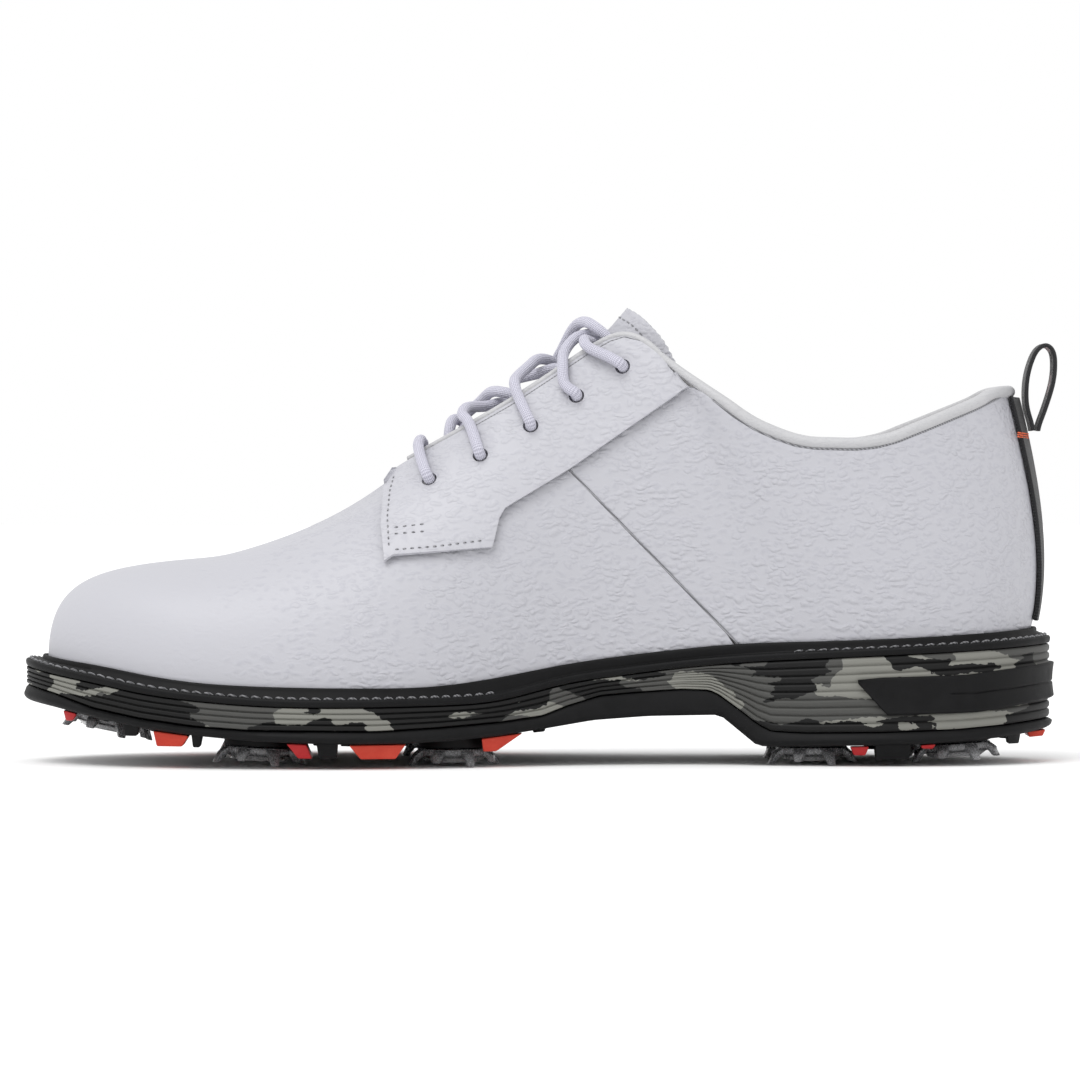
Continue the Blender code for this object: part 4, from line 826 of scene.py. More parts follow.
def braided_lace(name, light, dark, yarn):
    made, tree = new_finish(name)
    uv = add(tree, "SeparateXYZ", None, {"Vector": add(tree, "TexCoord").outputs["UV"]})
    round_it, along = uv.outputs["X"], uv.outputs["Y"]
    one = uv_sine(tree, maths(tree, "ADD", round_it, along), yarn)
    other = uv_sine(tree, maths(tree, "SUBTRACT", round_it, along), yarn)
    net = maths(tree, "MULTIPLY", one, other)
    height = add(tree, "MapRange", None,
                 {"Value": net, "From Min": -0.9, "From Max": 0.9}).outputs["Result"]
    fuzz = add(tree, "TexNoise", None, {"Vector": add(tree, "TexCoord").outputs["Object"],
                                        "Scale": per_mm(0.4), "Detail": 3.0}).outputs["Fac"]
    colour = ramp(tree, maths(tree, "ADD", maths(tree, "MULTIPLY", height, 0.7),
                              maths(tree, "MULTIPLY", fuzz, 0.3)), [(0.15, dark), (0.75, light)])
    surface(tree, {"Base Color": colour, "Roughness": 0.82, "IOR": 1.45, "Sheen Weight": 0.2,
                   "Sheen Roughness": 0.4}, height, 0.8, 0.28)
    return made


def woven_webbing(name, light, dark, warp, weft, upright=False):
    """The weave follows the UV map or, on a strip that stands upright across Y, its own Y and Z."""
    made, tree = new_finish(name)
    place = add(tree, "TexCoord").outputs["Object" if upright else "UV"]
    parts = add(tree, "SeparateXYZ", None, {"Vector": place}).outputs
    unit = MM if upright else 1.0
    columns = uv_sine(tree, parts["Y" if upright else "X"], warp * unit)
    rows = uv_sine(tree, parts["Z" if upright else "Y"], weft * unit)
    height = add(tree, "MapRange", None, {"Value": maths(tree, "MULTIPLY", columns, rows), "From Min": -1.0,
                                          "From Max": 1.0}).outputs["Result"]
    colour = ramp(tree, height, [(0.1, dark), (0.9, light)])
    surface(tree, {"Base Color": colour, "Roughness": 0.78, "IOR": 1.45, "Sheen Weight": 0.25,
                   "Sheen Roughness": 0.4}, height, 0.7, 0.2)
    return made


def twisted_thread(name, light, dark):
    made, tree = new_finish(name)
    place = add(tree, "TexCoord").outputs["Object"]
    twist = add(tree, "TexWave", {"bands_direction": "DIAGONAL"},
                {"Vector": place, "Scale": per_mm(2.2), "Distortion": 1.0}).outputs["Fac"]
    surface(tree, {"Base Color": ramp(tree, twist, [(0.1, dark), (0.9, light)]), "Roughness": 0.6,
                   "IOR": 1.5, "Sheen Weight": 0.2}, twist, 0.5, 0.08)
    return made


WHITE_LACE = braided_lace("braided_polyester_lace", "D2D1DE", "A3A2B0", 1.15)
BLACK_WEBBING = woven_webbing("woven_polyester_webbing_black", "232326", "0C0C0E", 0.7, 0.9)
STRIP_WEBBING = woven_webbing("woven_polyester_strip_black", "202023", "0B0B0D", 0.7, 0.9, upright=True)
PINK_WEBBING = woven_webbing("woven_polyester_ribbon_rose_grey", "B9A3A4", "8F7E80", 0.7, 0.9)
# This grey finish is real thread on the stitches, and also colours the thin cords of painted seam shade.
GREY_THREAD_AND_SEAM_SHADE = twisted_thread("bonded_polyester_thread_grey_and_seam_shade", "8E8E92", "5C5C60")
WELT_THREAD = twisted_thread("waxed_welt_thread_grey", "77777A", "3E3E41")
ORANGE_THREAD = twisted_thread("bonded_polyester_thread_orange", "E8622A", "B5441A")
print("textiles:", WHITE_LACE.name, BLACK_WEBBING.name, GREY_THREAD_AND_SEAM_SHADE.name)

# %% [markdown]
# Inside parts are hidden in a finished shoe but still have their own finishes: cellulose fibreboard with a
# pressed mat of fibres, granulated cork, and a shank of rolled spring steel with fine lines along it.

# %% Board, cork and steel
def pressed_board(name, light, dark, grit):
    made, tree = new_finish(name)
    place = add(tree, "TexCoord").outputs["Object"]
    grains = add(tree, "TexVoronoi", None, {"Vector": place, "Scale": per_mm(grit)})
    fibre = add(tree, "TexNoise", None,
                {"Vector": place, "Scale": per_mm(0.8), "Detail": 6.0}).outputs["Fac"]
    mixed = maths(tree, "ADD", maths(tree, "MULTIPLY", grains.outputs["Distance"], 0.6), fibre)
    colour = ramp(tree, maths(tree, "MULTIPLY", mixed, 0.6), [(0.2, dark), (0.8, light)])
    surface(tree, {"Base Color": colour, "Roughness": 0.85, "IOR": 1.4}, grains.outputs["Distance"], 0.5, 0.2)
    return made


def rolled_steel(name):
    made, tree = new_finish(name)
    place = add(tree, "TexCoord").outputs["Object"]
    drawn_out = add(tree, "Mapping", None, {"Vector": place, "Scale": (0.02, 1.0, 1.0)}).outputs["Vector"]
    lines = add(tree, "TexNoise", None,
                {"Vector": drawn_out, "Scale": per_mm(0.3), "Detail": 4.0}).outputs["Fac"]
    rough = add(tree, "MapRange", None, {"Value": lines, "To Min": 0.22, "To Max": 0.42}).outputs["Result"]
    surface(tree, {"Base Color": ramp(tree, lines, [(0.2, "8D9196"), (0.8, "B4B8BC")]), "Metallic": 1.0,
                   "Roughness": rough}, lines, 0.2, 0.03)
    return made


FIBREBOARD = pressed_board("pressed_cellulose_fibreboard", "B08B62", "7C5C3C", 1.2)
CORK = pressed_board("granulated_cork", "B98E5E", "6E4A2C", 2.6)
STEEL = rolled_steel("rolled_spring_steel")
for node, finish in (("insole_board", FIBREBOARD), ("toe_puff", FIBREBOARD), ("heel_counter", FIBREBOARD),
                     ("cork_filler", CORK), ("shank", STEEL)):
    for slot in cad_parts[node].material_slots:
        slot.material = finish
print("inside parts finished")


# %% [markdown]
# The upper is cut from flat leather and stretched over the last. Each panel is a patch on the surface of
# the last, raised by its layer. Solidify gives the leather its thickness and a small bevel softens the cut
# edge, so that two panels that meet show a fine dark seam.

# %% Leather panels
def skin(name, halves, lift, thickness, edge):
    """A panel: halves is a list of (side, patch), joined where they meet."""
    points, faces = [], []
    for side, patch in halves:
        u, t = patch[..., 0], patch[..., 1]
        depth = lift(u) if callable(lift) else np.full(u.shape, lift)
        spots = lifted(u, t, side, depth)
        first = sum(len(p) for p in points)
        i, j = (n // 2 for n in u.shape)
        out = lifted(u[i, j], t[i, j], side, 5.0) - lifted(u[i, j], t[i, j], side, 0.0)
        turned_in = np.dot(np.cross(spots[i + 1, j] - spots[i, j], spots[i, j + 1] - spots[i, j]), out) < 0
        points.append(spots.reshape(-1, 3))
        faces += grid_faces(*u.shape, first, turned_in)
    part = join_points(new_piece(name, np.vstack(points), faces))
    wall = part.modifiers.new("thickness", "SOLIDIFY")
    wall.thickness = thickness * MM
    wall.offset = -1
    apply_all(part)
    return bevelled(part, edge, 3, 60)


def both(patch_for):
    return [(side, patch_for(side)) for side in (MEDIAL, LATERAL)]


LEATHER, LINING, TURNED_EDGE = 1.6, 0.9, 0.7
WORD = {MEDIAL: "medial", LATERAL: "lateral"}
vamp = skin("upper_vamp", both(vamp_patch), 0.0, LEATHER, TURNED_EDGE)
dressed(vamp, WHITE_LEATHER, "shoe", ["vamp"])
for side, word in WORD.items():
    patch = quarter_patch(side, heel=BACK_SEAM)
    quarter = skin("upper_quarter_" + word, [(side, patch)], 0.0, LEATHER, TURNED_EDGE)
    dressed(quarter, WHITE_LEATHER, "shoe", ["quarter_" + word])

# %% [markdown]
# The lining is cut from the same patterns, a little smaller, and lies inside. It needs fewer rows and
# columns than the leather, because little of it shows.

# %% Linings
LINING_MARGIN, LINING_EDGE = 2.0, 0.2
front = both(lambda side: vamp_patch(side, 40, 18, LINING_MARGIN))
back = both(lambda side: quarter_patch(side, 50, 28, LINING_MARGIN))
for name, halves, node in (("inner_vamp_lining", front, "vamp_lining"),
                           ("inner_quarter_lining", back, "quarter_lining")):
    lining = skin(name, halves, lining_lift, LINING, LINING_EDGE)
    dressed(lining, LINING_LEATHER, "shoe", [node])

# %% [markdown]
# The facings carry the lacing. They are cut on top of the vamp, with their front corner sewn down. The
# eyelets are plain punched holes, so each is cut out of the leather with a small round punch.

# %% Facings
def eyelet_at(side, n):
    """(u, t) of an eyelet, which keeps its place in the leather when the edge is trimmed."""
    return on_last(side, *trimmed([EYELETS[n]], *EDGE_TRIM)[0])


def punch(side, n):
    """A round punch through the facing at one eyelet, square to the leather."""
    u, t = eyelet_at(side, n)
    spot, deep = lifted(u, t, side, FACING_LIFT), lifted(u, t, side, FACING_LIFT - 1.0)
    way = Vector(spot - deep).normalized()
    bpy.ops.object.select_all(action="DESELECT")
    bpy.ops.mesh.primitive_cylinder_add(vertices=24, radius=EYELET_HOLE / 2 * MM, depth=6 * MM)
    tool = bpy.context.object
    place = Matrix.Translation(Vector(placed([spot])[0])) @ way.to_track_quat("Z", "Y").to_matrix().to_4x4()
    tool.data.transform(place)
    return tool


for side, word in WORD.items():
    facing = skin("upper_facing_" + word, [(side, facing_patch(side))], FACING_LIFT, FACING_THICK, 0.5)
    for n in range(len(EYELETS)):
        facing = boolean(facing, punch(side, n), "DIFFERENCE")
    dressed(facing, FACING_LEATHER, "shoe", ["facing_" + word], smooth=50)

# %% [markdown]
# Facing stitching: one row follows the front edge, one the bottom edge, and two short bars lock the corner
# where the laces pull. The thread is grey against the white leather. A stitch stands out a little from the
# leather, so each row lies on the facing's face and a hair above it.

# %% Facing stitches
FRONT_ROW = [(-41.6, 83.0), (-43.0, 78.5), (-43.9, 71.0), (-43.6, 62.6)]
BOTTOM_ROW = [(-42.4, 61.9), (-30.0, 63.2), (-16.6, 65.2)]
BAR_ROWS = [[(-42.6, 68.1), (-32.8, 69.5)], [(-42.6, 66.3), (-32.8, 67.4)]]
for side, word in WORD.items():
    rows = [on_panel(side, row, FACING_LIFT + 0.06, 30) for row in (FRONT_ROW, BOTTOM_ROW, *BAR_ROWS)]
    dressed(stitch_rows("facing_stitches_" + word, rows, 1.2, 2.1, 0.24), GREY_THREAD_AND_SEAM_SHADE)

# %% [markdown]
# One narrow binding of thin leather, folded over a cord of foam, edges the facings, turns their rounded top
# corner, and goes on round the ankle as the collar. It is thin along the laces and fuller at the collar, so
# it is swept with a radius that changes along the line. On the way it drops from
# the facing's layer to the quarter's.

# %% Binding
BINDING = trimmed(FACING_EDGE[-3:0:-1], 0.6, -0.8) + [(24.9, 125.6)] + FACING_TOP[-2::-1]


def topline_path(side, lift, rise, count):
    """Points above the top edge of the quarters, from the facing to the heel."""
    spots = drawn(side, TOPLINE, count)
    spots = np.vstack([spots, [(1, on_last(side, *BACK_TOP)[1])]])
    return lifted(spots[:, 0], spots[:, 1], side, np.full(len(spots), lift)) + (0, 0, rise)


def binding_half(side):
    laces, _ = on_panel(side, BINDING, FACING_LIFT - FACING_THICK / 2, 41)
    return np.vstack([laces[:-3:3], topline_path(side, -1.45, 1.75, 40)[2::2]])


LACE_ROLL, COLLAR_ROLL = 1.0, 1.85
FULLER_FROM, FULLER_OVER = 34, 26       # the roll grows over this much of the shoe's length, from this x on
ahead, behind = binding_half(MEDIAL), binding_half(LATERAL)
binding_line = smooth_line(np.vstack([ahead, behind[-2::-1]]), 520)
fullness = np.clip((binding_line[:, 0] - FULLER_FROM) / FULLER_OVER, 0, 1)
binding_radius = LACE_ROLL + (COLLAR_ROLL - LACE_ROLL) * fullness
binding = cord("collar_binding_roll", binding_line, binding_radius, 20)
dressed(binding, FOLDED_LEATHER, "shoe", ["collar_binding"])

# %% [markdown]
# Where two panels meet, and where the binding meets the leather, the cut edges are turned in. A thin grey
# cord at the bottom of each groove is painted shade: it draws the seam's dark line where the groove is
# shaded.

# %% Closing seams
for side, word in WORD.items():
    # Each cord here is painted seam shade: a grey line where the groove falls into shadow, not a thread.
    closing_shade_line, _ = on_panel(side, trimmed(SEAM, -0.05), -0.45, 90)
    seam_shade_cord = cord("closing_seam_shade_" + word, closing_shade_line[:-2], 0.42, 8)
    dressed(seam_shade_cord, GREY_THREAD_AND_SEAM_SHADE)
    collar_shade_line = topline_path(side, -0.2, -0.1, 90)
    dressed(cord("collar_seam_shade_" + word, collar_shade_line, 0.3, 8), GREY_THREAD_AND_SEAM_SHADE)
    facing_shade_line, _ = on_panel(side, trimmed(BINDING[1:-2], 0.9, -1.0), FACING_LIFT - 0.12, 90)
    dressed(cord("facing_seam_shade_" + word, facing_shade_line, 0.22, 8), GREY_THREAD_AND_SEAM_SHADE)

# %% [markdown]
# The tongue is leather over thin foam. It lies under the facings and stands free above the top eyelets,
# where its end is cut with pinking shears. Its grid follows the last, then rises in a few even steps to the
# free end, and every other point of the last row is drawn out to make the small teeth.

# %% Tongue
TONGUE = [(-52, 20), (-40, 21), (-22, 21.5), (-4, 20), (10, 18)]      # (x, half width) on the last
TONGUE_END = [(26, 0, 134.3), (28.8, 4.8, 132.6), (32.2, 8.6, 129.4), (36, 11.4, 125), (41.5, 14.6, 115)]
TONGUE_LIFT, TONGUE_THICK = -5.7, 2.6
FREE_STEPS, TOOTH = (0.33, 0.67, 1.0), 0.4


def tongue_sheet(count_across=53, count_along=72):
    """The tongue's outer face: rows on the last, then rows that stand up to its free end."""
    rows = []
    for x, half in spaced(TONGUE, 9):
        row = []
        for w in np.linspace(-1, 1, 11):
            side = MEDIAL if w < 0 else LATERAL
            row.append(lifted(*seen_from_above(side, x, w * half), side, TONGUE_LIFT))
        rows.append(np.array(row))
    side_end = smooth_line(TONGUE_END, 6)
    end = np.vstack([side_end[:0:-1] * (1, -1, 1), side_end])
    base = rows[-1]
    rows += [base * (1 - share) + end * share for share in FREE_STEPS]
    fine = np.array([smooth_line(row, count_across) for row in rows])
    sheet = np.array([smooth_line(fine[:, j], count_along) for j in range(count_across)]).transpose(1, 0, 2)
    teeth = TOOTH * np.abs(((np.arange(count_across) * 0.5) % 1) * 2 - 1)
    sheet[-1] += (sheet[-1] - sheet[-2]) / 1.5 * teeth[:, None]
    return sheet


def tongue():
    top = tongue_sheet()
    part = join_points(new_piece("padded_tongue", top.reshape(-1, 3), grid_faces(*top.shape[:2])))
    wall = part.modifiers.new("thickness", "SOLIDIFY")
    wall.thickness = TONGUE_THICK * MM
    wall.offset = -1
    apply_all(part)
    return bevelled(part, 0.5, 3, 60), top


padded_tongue, tongue_top = tongue()
dressed(padded_tongue, WHITE_LEATHER, "tongue", ["tongue"], smooth=60)

# %% [markdown]
# One row of stitches closes the tongue's free end, a few millimetres in from the teeth. It rides with the
# tongue, and each stitch stands square to the leather there.

# %% Tongue stitches
border = 0.45 * tongue_top[-4, 2:-2] + 0.55 * tongue_top[-3, 2:-2]
along, across = tongue_top[-3, 2:-2] - tongue_top[-6, 2:-2], np.gradient(border, axis=0)
rise = np.cross(along, across)
rise *= np.sign(rise[len(rise) // 2, 2]) / np.linalg.norm(rise, axis=1, keepdims=True)
tongue_row = stitch_rows("tongue_stitches", [(border + rise * 0.05, rise)], 1.5, 2.2, 0.22)
dressed(tongue_row, GREY_THREAD_AND_SEAM_SHADE, "tongue")

# %% [markdown]
# A woven strip covers the back seam, and a loop of the same ribbon stands above it to pull the shoe on.
# Ribbons are flat sweeps with rounded edges and a UV map in millimetres for the weave.

# %% Ribbons
def ribbon(name, line, aside, width, thick):
    """A flat ribbon: aside is the direction across it at each point."""
    way = np.gradient(line, axis=0)
    way /= np.linalg.norm(way, axis=1, keepdims=True)
    up = np.cross(aside, way)
    half, soft = width / 2, thick / 2
    turn = np.radians(np.linspace(90, 270, 7))
    left = np.column_stack([-half + soft + soft * np.cos(turn), soft * np.sin(turn)])
    right = np.column_stack([half - soft - soft * np.cos(turn), -soft * np.sin(turn)])
    flat = np.linspace(-half + soft, half - soft, 12)[1:-1]
    under = np.column_stack([flat, np.full(10, -soft)])
    over = np.column_stack([flat[::-1], np.full(10, soft)])
    section = np.vstack([left, under, right, over, left[:1]])
    points = line[:, None] + aside[:, None] * section[None, :, :1] + up[:, None] * section[None, :, 1:]
    along = np.concatenate([[0], np.cumsum(np.linalg.norm(np.diff(line, axis=0), axis=1))])
    round_it = np.concatenate([[0], np.cumsum(np.linalg.norm(np.diff(section, axis=0), axis=1))])
    return grid_piece(name, points, np.stack(np.meshgrid(round_it, along), -1))


# %% [markdown]
# The strip is a patch on the last like a leather panel, as wide on both sides of the back seam at every
# height. A short orange bar tack holds it below the collar.

# %% Heel strip
STRIP_HALF = 5.5
STRIP_HEIGHTS = [(144.0, 42.0), (145.5, 48), (147.5, 55), (148.5, 66), (147.5, 80), (145.5, 92),
                 (141.8, 105), (140.9, 107.6)]


def strip_patch(side):
    heights = smooth_line(STRIP_HEIGHTS, 48)
    at_back = np.array([(1, on_last(side, x, z)[1]) for x, z in heights])
    inner = []
    for u, t in at_back:
        ribs = np.linspace(0.93, 1, 60)
        y = last_surface(ribs, np.full(60, t), side)[:, 1] * side
        inner.append((np.interp(-STRIP_HALF, -y, ribs), t))
    inner = np.array(inner)
    return coons(run(inner[0], at_back[0], 9), run(inner[-1], at_back[-1], 9), inner, at_back)


strip = skin("woven_heel_strip", both(strip_patch), 1.7, 1.3, 0.35)
dressed(strip, STRIP_WEBBING, "shoe", ["heel_strip"])
TACK_HEIGHT, TACK_LIFT = (144.4, 96), 1.75
tack_ribs = np.linspace(0.978, 0.999, 12)
tack_t = np.full(12, on_last(MEDIAL, *TACK_HEIGHT)[1])
tack_line = lifted(tack_ribs, tack_t, MEDIAL, np.full(12, TACK_LIFT))
tack_out = tack_line - lifted(tack_ribs, tack_t, MEDIAL, np.full(12, 0.7))
tack = [(tack_line + (0, 0, level), tack_out) for level in (-0.6, 0.0, 0.6)]
dressed(stitch_rows("orange_bar_tack", tack, 1.1, 1.3, 0.22), ORANGE_THREAD)

# %% [markdown]
# The loop is drawn from the side as a drop whose two ends meet on the heel strip. Its inner face is woven in
# another colour, so the faces that look towards its middle get a second finish.

# %% Pull loop
LOOP_WIDTH, LOOP_THICK = 12.0, 1.3
LOOP_LINE = [(146.6, 98.0), (146.1, 100.5), (145.0, 104.5), (144.6, 109), (145.0, 114), (146.3, 118.8),
             (148.2, 122.2), (150.5, 123.3), (152.4, 121.8), (153.1, 118), (152.7, 113), (151.4, 108),
             (149.7, 103), (148.6, 100), (148.1, 98.0)]
flat_loop = smooth_line(LOOP_LINE, 130)
loop_line = np.column_stack([flat_loop[:, 0], np.full(130, 0.5), flat_loop[:, 1]])
loop = ribbon("ribbon_pull_loop", loop_line, np.tile((0.0, 1.0, 0.0), (130, 1)), LOOP_WIDTH, LOOP_THICK)
dressed(loop, [BLACK_WEBBING, PINK_WEBBING], "pull_loop", ["pull_loop"])
centre = Vector(placed([(149.0, 0.5, 112.5)])[0])
for face in loop.data.polygons:
    inward = (centre - face.center).dot(face.normal)
    if inward > 0.7 * (centre - face.center).length and abs(face.normal.y) < 0.3:
        face.material_index = 1
print("inside of the loop:", sum(face.material_index for face in loop.data.polygons), "faces")


# %% [markdown]
# The layers of the sole all follow the welt's edge. A layer is a stack of closed rims, joined into a wall
# and closed above and below by faces that run across the sole like rungs.

# %% Rims and layers
EDGE = True
ROUND = np.linspace(0, 1, 261)


def rim(us, side, out, height):
    """Points round the sole: out from the feather line, or from the welt's edge if out is a pair."""
    if callable(out):
        out = out(us, side)
    base, normal = feather(us, side)
    from_edge, extra = out if isinstance(out, tuple) else (False, out)
    reach = (WELT_OUT[side](us) if from_edge else 0) + extra
    plan = base + normal * np.broadcast_to(reach, us.shape)[:, None]
    z = height(plan[:, 0]) if callable(height) else np.full(len(us), float(height))
    return np.column_stack([plan, z])


def above(height, rise):
    return lambda x: height(x) + rise


def bulge(us, side, rise):
    """How far the upper stands out from the feather line at this height above the midsole."""
    base, normal = feather(us, side)
    heights = np.linspace(0, 0.35, 40)
    out = []
    for u, foot, way in zip(us, base, normal):
        rib = last_surface(u, heights, side)
        t = np.interp(midsole_top(foot[0]) + rise(foot[0]), rib[:, 2], heights)
        out.append(float(np.dot(last_surface(u, t, side)[:2] - foot, way)))
    return np.array(out)


def whole_rim(us, out, height):
    """The closed rim: medial side toe to heel, then back along the lateral side."""
    there, back = (rim(us, side, out, height) for side in (MEDIAL, LATERAL))
    return np.vstack([there, back[-2:0:-1]])


def layer(name, rings, us=ROUND):
    """A closed solid from rims, top to bottom."""
    loops = [whole_rim(us, out, height) for out, height in rings]
    size = len(loops[0])
    faces = []
    for k in range(len(loops) - 1):
        for i in range(size):
            j = (i + 1) % size
            faces.append((k * size + i, (k + 1) * size + i, (k + 1) * size + j, k * size + j))
    last = (len(loops) - 1) * size
    for a in range(len(us) - 1):
        b = a + 1
        rung = list(dict.fromkeys((a, b, (size - b) % size, (size - a) % size)))
        faces += [tuple(rung), tuple(last + i for i in reversed(rung))]
    return join_points(new_piece(name, np.vstack(loops), faces), 0.001, outwards=True)


def between(high, low, share, drop_high=0.0, drop_low=0.0):
    return lambda x: (high(x) - drop_high) * (1 - share) + (low(x) + drop_low) * share


print("points in a rim:", len(whole_rim(ROUND, 0.0, midsole_top)))

# %% [markdown]
# The midsole's wall is moulded with grooves that run round it. In the forepart there are three, and on the
# heel block there are eight, which crowd together towards the breast of the heel like a fan.

# %% Midsole
GROOVE_DEPTH = 0.62
FRONT_BANDS, HEEL_BANDS = 4, 9
HEEL_FROM, HEEL_OVER = 34, 18       # the front bands give way to the heel's from this x, over this length


def grooves(share, count):
    """Depth from 0 to 1 at this share of the wall's height, for a wall of count bands."""
    at = share * count
    inside = (np.round(at) > 0) & (np.round(at) < count)
    return np.exp(-(np.abs(at - np.round(at)) / 0.15) ** 2) * inside


def wall_depth(share, soft):
    """How far the wall lies in from the welt's edge, at this share of its height."""
    def out(us, side):
        x = feather(us, side)[0][:, 0]
        heel = np.clip((x - HEEL_FROM) / HEEL_OVER, 0, 1)
        cut = (1 - heel) * grooves(share, FRONT_BANDS) + heel * grooves(share, HEEL_BANDS)
        return (EDGE, -0.05 - GROOVE_DEPTH * cut - soft)
    return out


rings = [((EDGE, -2.0), above(midsole_top, 0))]
for share in np.linspace(0, 1, 64):
    soft = 0.55 * max(0.0, 1 - share / 0.03) + 0.35 * max(0.0, 1 - (1 - share) / 0.03)
    rings.append((wall_depth(share, soft), between(midsole_top, outsole_top, share)))
midsole = layer("camouflage_midsole", rings)
dressed(midsole, CAMO_RUBBER, "shoe", ["midsole"], smooth=50)

# %% [markdown]
# The footbed lies on the insole board: a thin cushion covered in perforated skin, rolled over at its edge
# and cupped a little at the heel. It is padding.

# %% Footbed
BED_SECTION = [(-17.0, 9.3), (-12.0, 9.5), (-9.4, 9.6), (-8.3, 9.3), (-7.6, 8.6), (-7.2, 7.4), (-7.0, 4.9)]
bed_rings = [(out, above(midsole_top, rise)) for out, rise in BED_SECTION]
footbed = layer("cushioned_footbed", bed_rings, np.linspace(0, 1, 121))
dressed(footbed, FOOTBED_LEATHER, "shoe", ["footbed"], smooth=50)

# %% [markdown]
# The storm welt is a moulded strip that stands up against the leather to keep water out. Its section has a
# raised bead against the upper, a shoulder, a channel for the stitches, and a rounded outer lip.

# %% Welt
def bead_rise(x):
    return upper_edge(x) - midsole_top(x)


BULGE = {side: bulge(ROUND, side, bead_rise) for side in (MEDIAL, LATERAL)}


def leaning(extra, share, spare):
    """In from the welt's edge by at least spare, and out from the feather line with the upper's bulge."""
    def out(us, side):
        return np.minimum(extra + share * BULGE[side], WELT_OUT[side](us) - spare)
    return out


def bead(drop):
    return lambda x: upper_edge(x) - drop


# The bead against the leather: (out, share of the bulge, spare, drop from its top).
BEAD_SECTION = [(0.55, 1, 0.95, 0.5), (0.62, 1, 0.9, 0.12), (0.8, 1, 0.8, -0.02), (1.15, 1, 0.6, -0.02),
                (1.42, 1, 0.42, 0.16), (1.6, 1, 0.34, 0.6), (1.75, 0.9, 0.32, 1.3)]
# The channel and the lip: (out from the welt's edge, height above the shoulder), then the wall below them.
LIP_SECTION = [(-1.95, 1.0), (-1.75, 0.55), (-1.2, 0.35), (-0.7, 0.5), (-0.3, 0.42), (0.05, 0.1),
               (0.2, -0.35)]
WALL_SECTION = [(0.15, 0.9), (-0.1, 0.35)]
welt_rings = [(leaning(0.5, 0, 0.9), above(midsole_top, 0.35))]
welt_rings += [(leaning(out, share, spare), bead(drop)) for out, share, spare, drop in BEAD_SECTION]
welt_rings += [((EDGE, out), above(midsole_top, WELT_EDGE + rise)) for out, rise in LIP_SECTION]
welt_rings += [((EDGE, out), above(midsole_top, rise)) for out, rise in WALL_SECTION]


def strip_round(name, rings):
    """A closed strip round the whole sole: the last ring joins the first."""
    loops = [whole_rim(ROUND, out, height) for out, height in rings]
    size = len(loops[0])
    faces = []
    for k in range(len(loops)):
        n = (k + 1) % len(loops)
        faces += [(k * size + i, n * size + i, n * size + (i + 1) % size, k * size + (i + 1) % size)
                  for i in range(size)]
    return join_points(new_piece(name, np.vstack(loops), faces), 0.0005, outwards=True)


dressed(strip_round("storm_welt", welt_rings), BLACK_RUBBER, "shoe", ["welt"], smooth=60)


# %% [markdown]
# A lockstitch of thick waxed thread runs in the welt's channel, all round but for a stretch at the inner
# waist. The stitches face up and a little outwards, as the channel does.

# %% Welt stitches
def path_round(start, end, out, height, count):
    """A line round the sole from the medial side at u = start, past the heel or toe, to u = end."""
    pole = 0 if start < 0.5 else 1
    halves = []
    for side, us in ((MEDIAL, np.linspace(start, pole, count)), (LATERAL, np.linspace(pole, end, count))):
        halves.append(rim(us, side, out, height))
    return np.vstack([halves[0], halves[1][1:]])


def rim_row(line):
    middle = line[:, :2].mean(0)
    out = np.column_stack([line[:, :2] - middle, np.zeros(len(line))])
    out /= np.maximum(np.linalg.norm(out, axis=1, keepdims=True), 1e-6)
    return line, out * 0.6 + (0, 0, 0.8)


STITCH_LEVEL, STITCH_OUT = above(midsole_top, WELT_EDGE + 0.75), (EDGE, -1.3)
toe_run = path_round(0.46, 1.0, STITCH_OUT, STITCH_LEVEL, 200)
heel_run = rim(np.linspace(1, 0.735, 60), MEDIAL, STITCH_OUT, STITCH_LEVEL)
welt_rows = [rim_row(np.vstack([toe_run, heel_run[1:]]))]
dressed(stitch_rows("welt_lockstitch", welt_rows, 2.7, 3.5, 0.42), WELT_THREAD, "shoe",
        ["welt_stitching"])

# %% [markdown]
# A black clip wraps the back of the heel. Its face is slightly hollow, and a fine line is moulded into it
# towards the back.

# %% Heel clip
CLIP_FROM_X = 93.4
CLIP_FROM = [float(np.interp(CLIP_FROM_X, FEATHER[side][:, 0], ALONG[side])) for side in (MEDIAL, LATERAL)]


def clip_face(share):
    """How far the clip stands out from the welt's edge, at this share of its height."""
    soft = 0.6 * max(0.0, 1 - share / 0.05) ** 2 + 0.6 * max(0.0, 1 - (1 - share) / 0.05) ** 2

    def out(us, side):
        x = feather(us, side)[0][:, 0]
        middle = 0.50 + 0.065 * (x - 124) / 27
        line = 0.4 * np.exp(-((share - middle) / 0.025) ** 2) * (x > 119)
        return (EDGE, 1.4 - 0.55 * math.sin(math.pi * share) - soft - line)
    return out


CLIP_GAP, CLIP_POINTS = 0.05, 110
clip_rings = []
for share in np.linspace(0, 1, 44):
    level = between(panel_top, panel_bottom, share, CLIP_GAP, CLIP_GAP)
    clip_rings.append(path_round(*CLIP_FROM, clip_face(share), level, CLIP_POINTS))
back_rings = [path_round(*CLIP_FROM, (EDGE, 0.3), between(panel_top, panel_bottom, share), CLIP_POINTS)
              for share in (1.0, 0.0)]
clip_points = np.array(clip_rings + back_rings + clip_rings[:1]).transpose(1, 0, 2)
heel_clip = grid_piece("heel_clip", clip_points, np.zeros(clip_points.shape[:2] + (2,)))
dressed(heel_clip, BLACK_RUBBER, "shoe", ["heel_panel"], smooth=40)


# %% [markdown]
# Nine cleats screw into the sole. Each sits on a low round boss with a socket behind it. The list gives
# where they sit, and how far the sole tilts there.

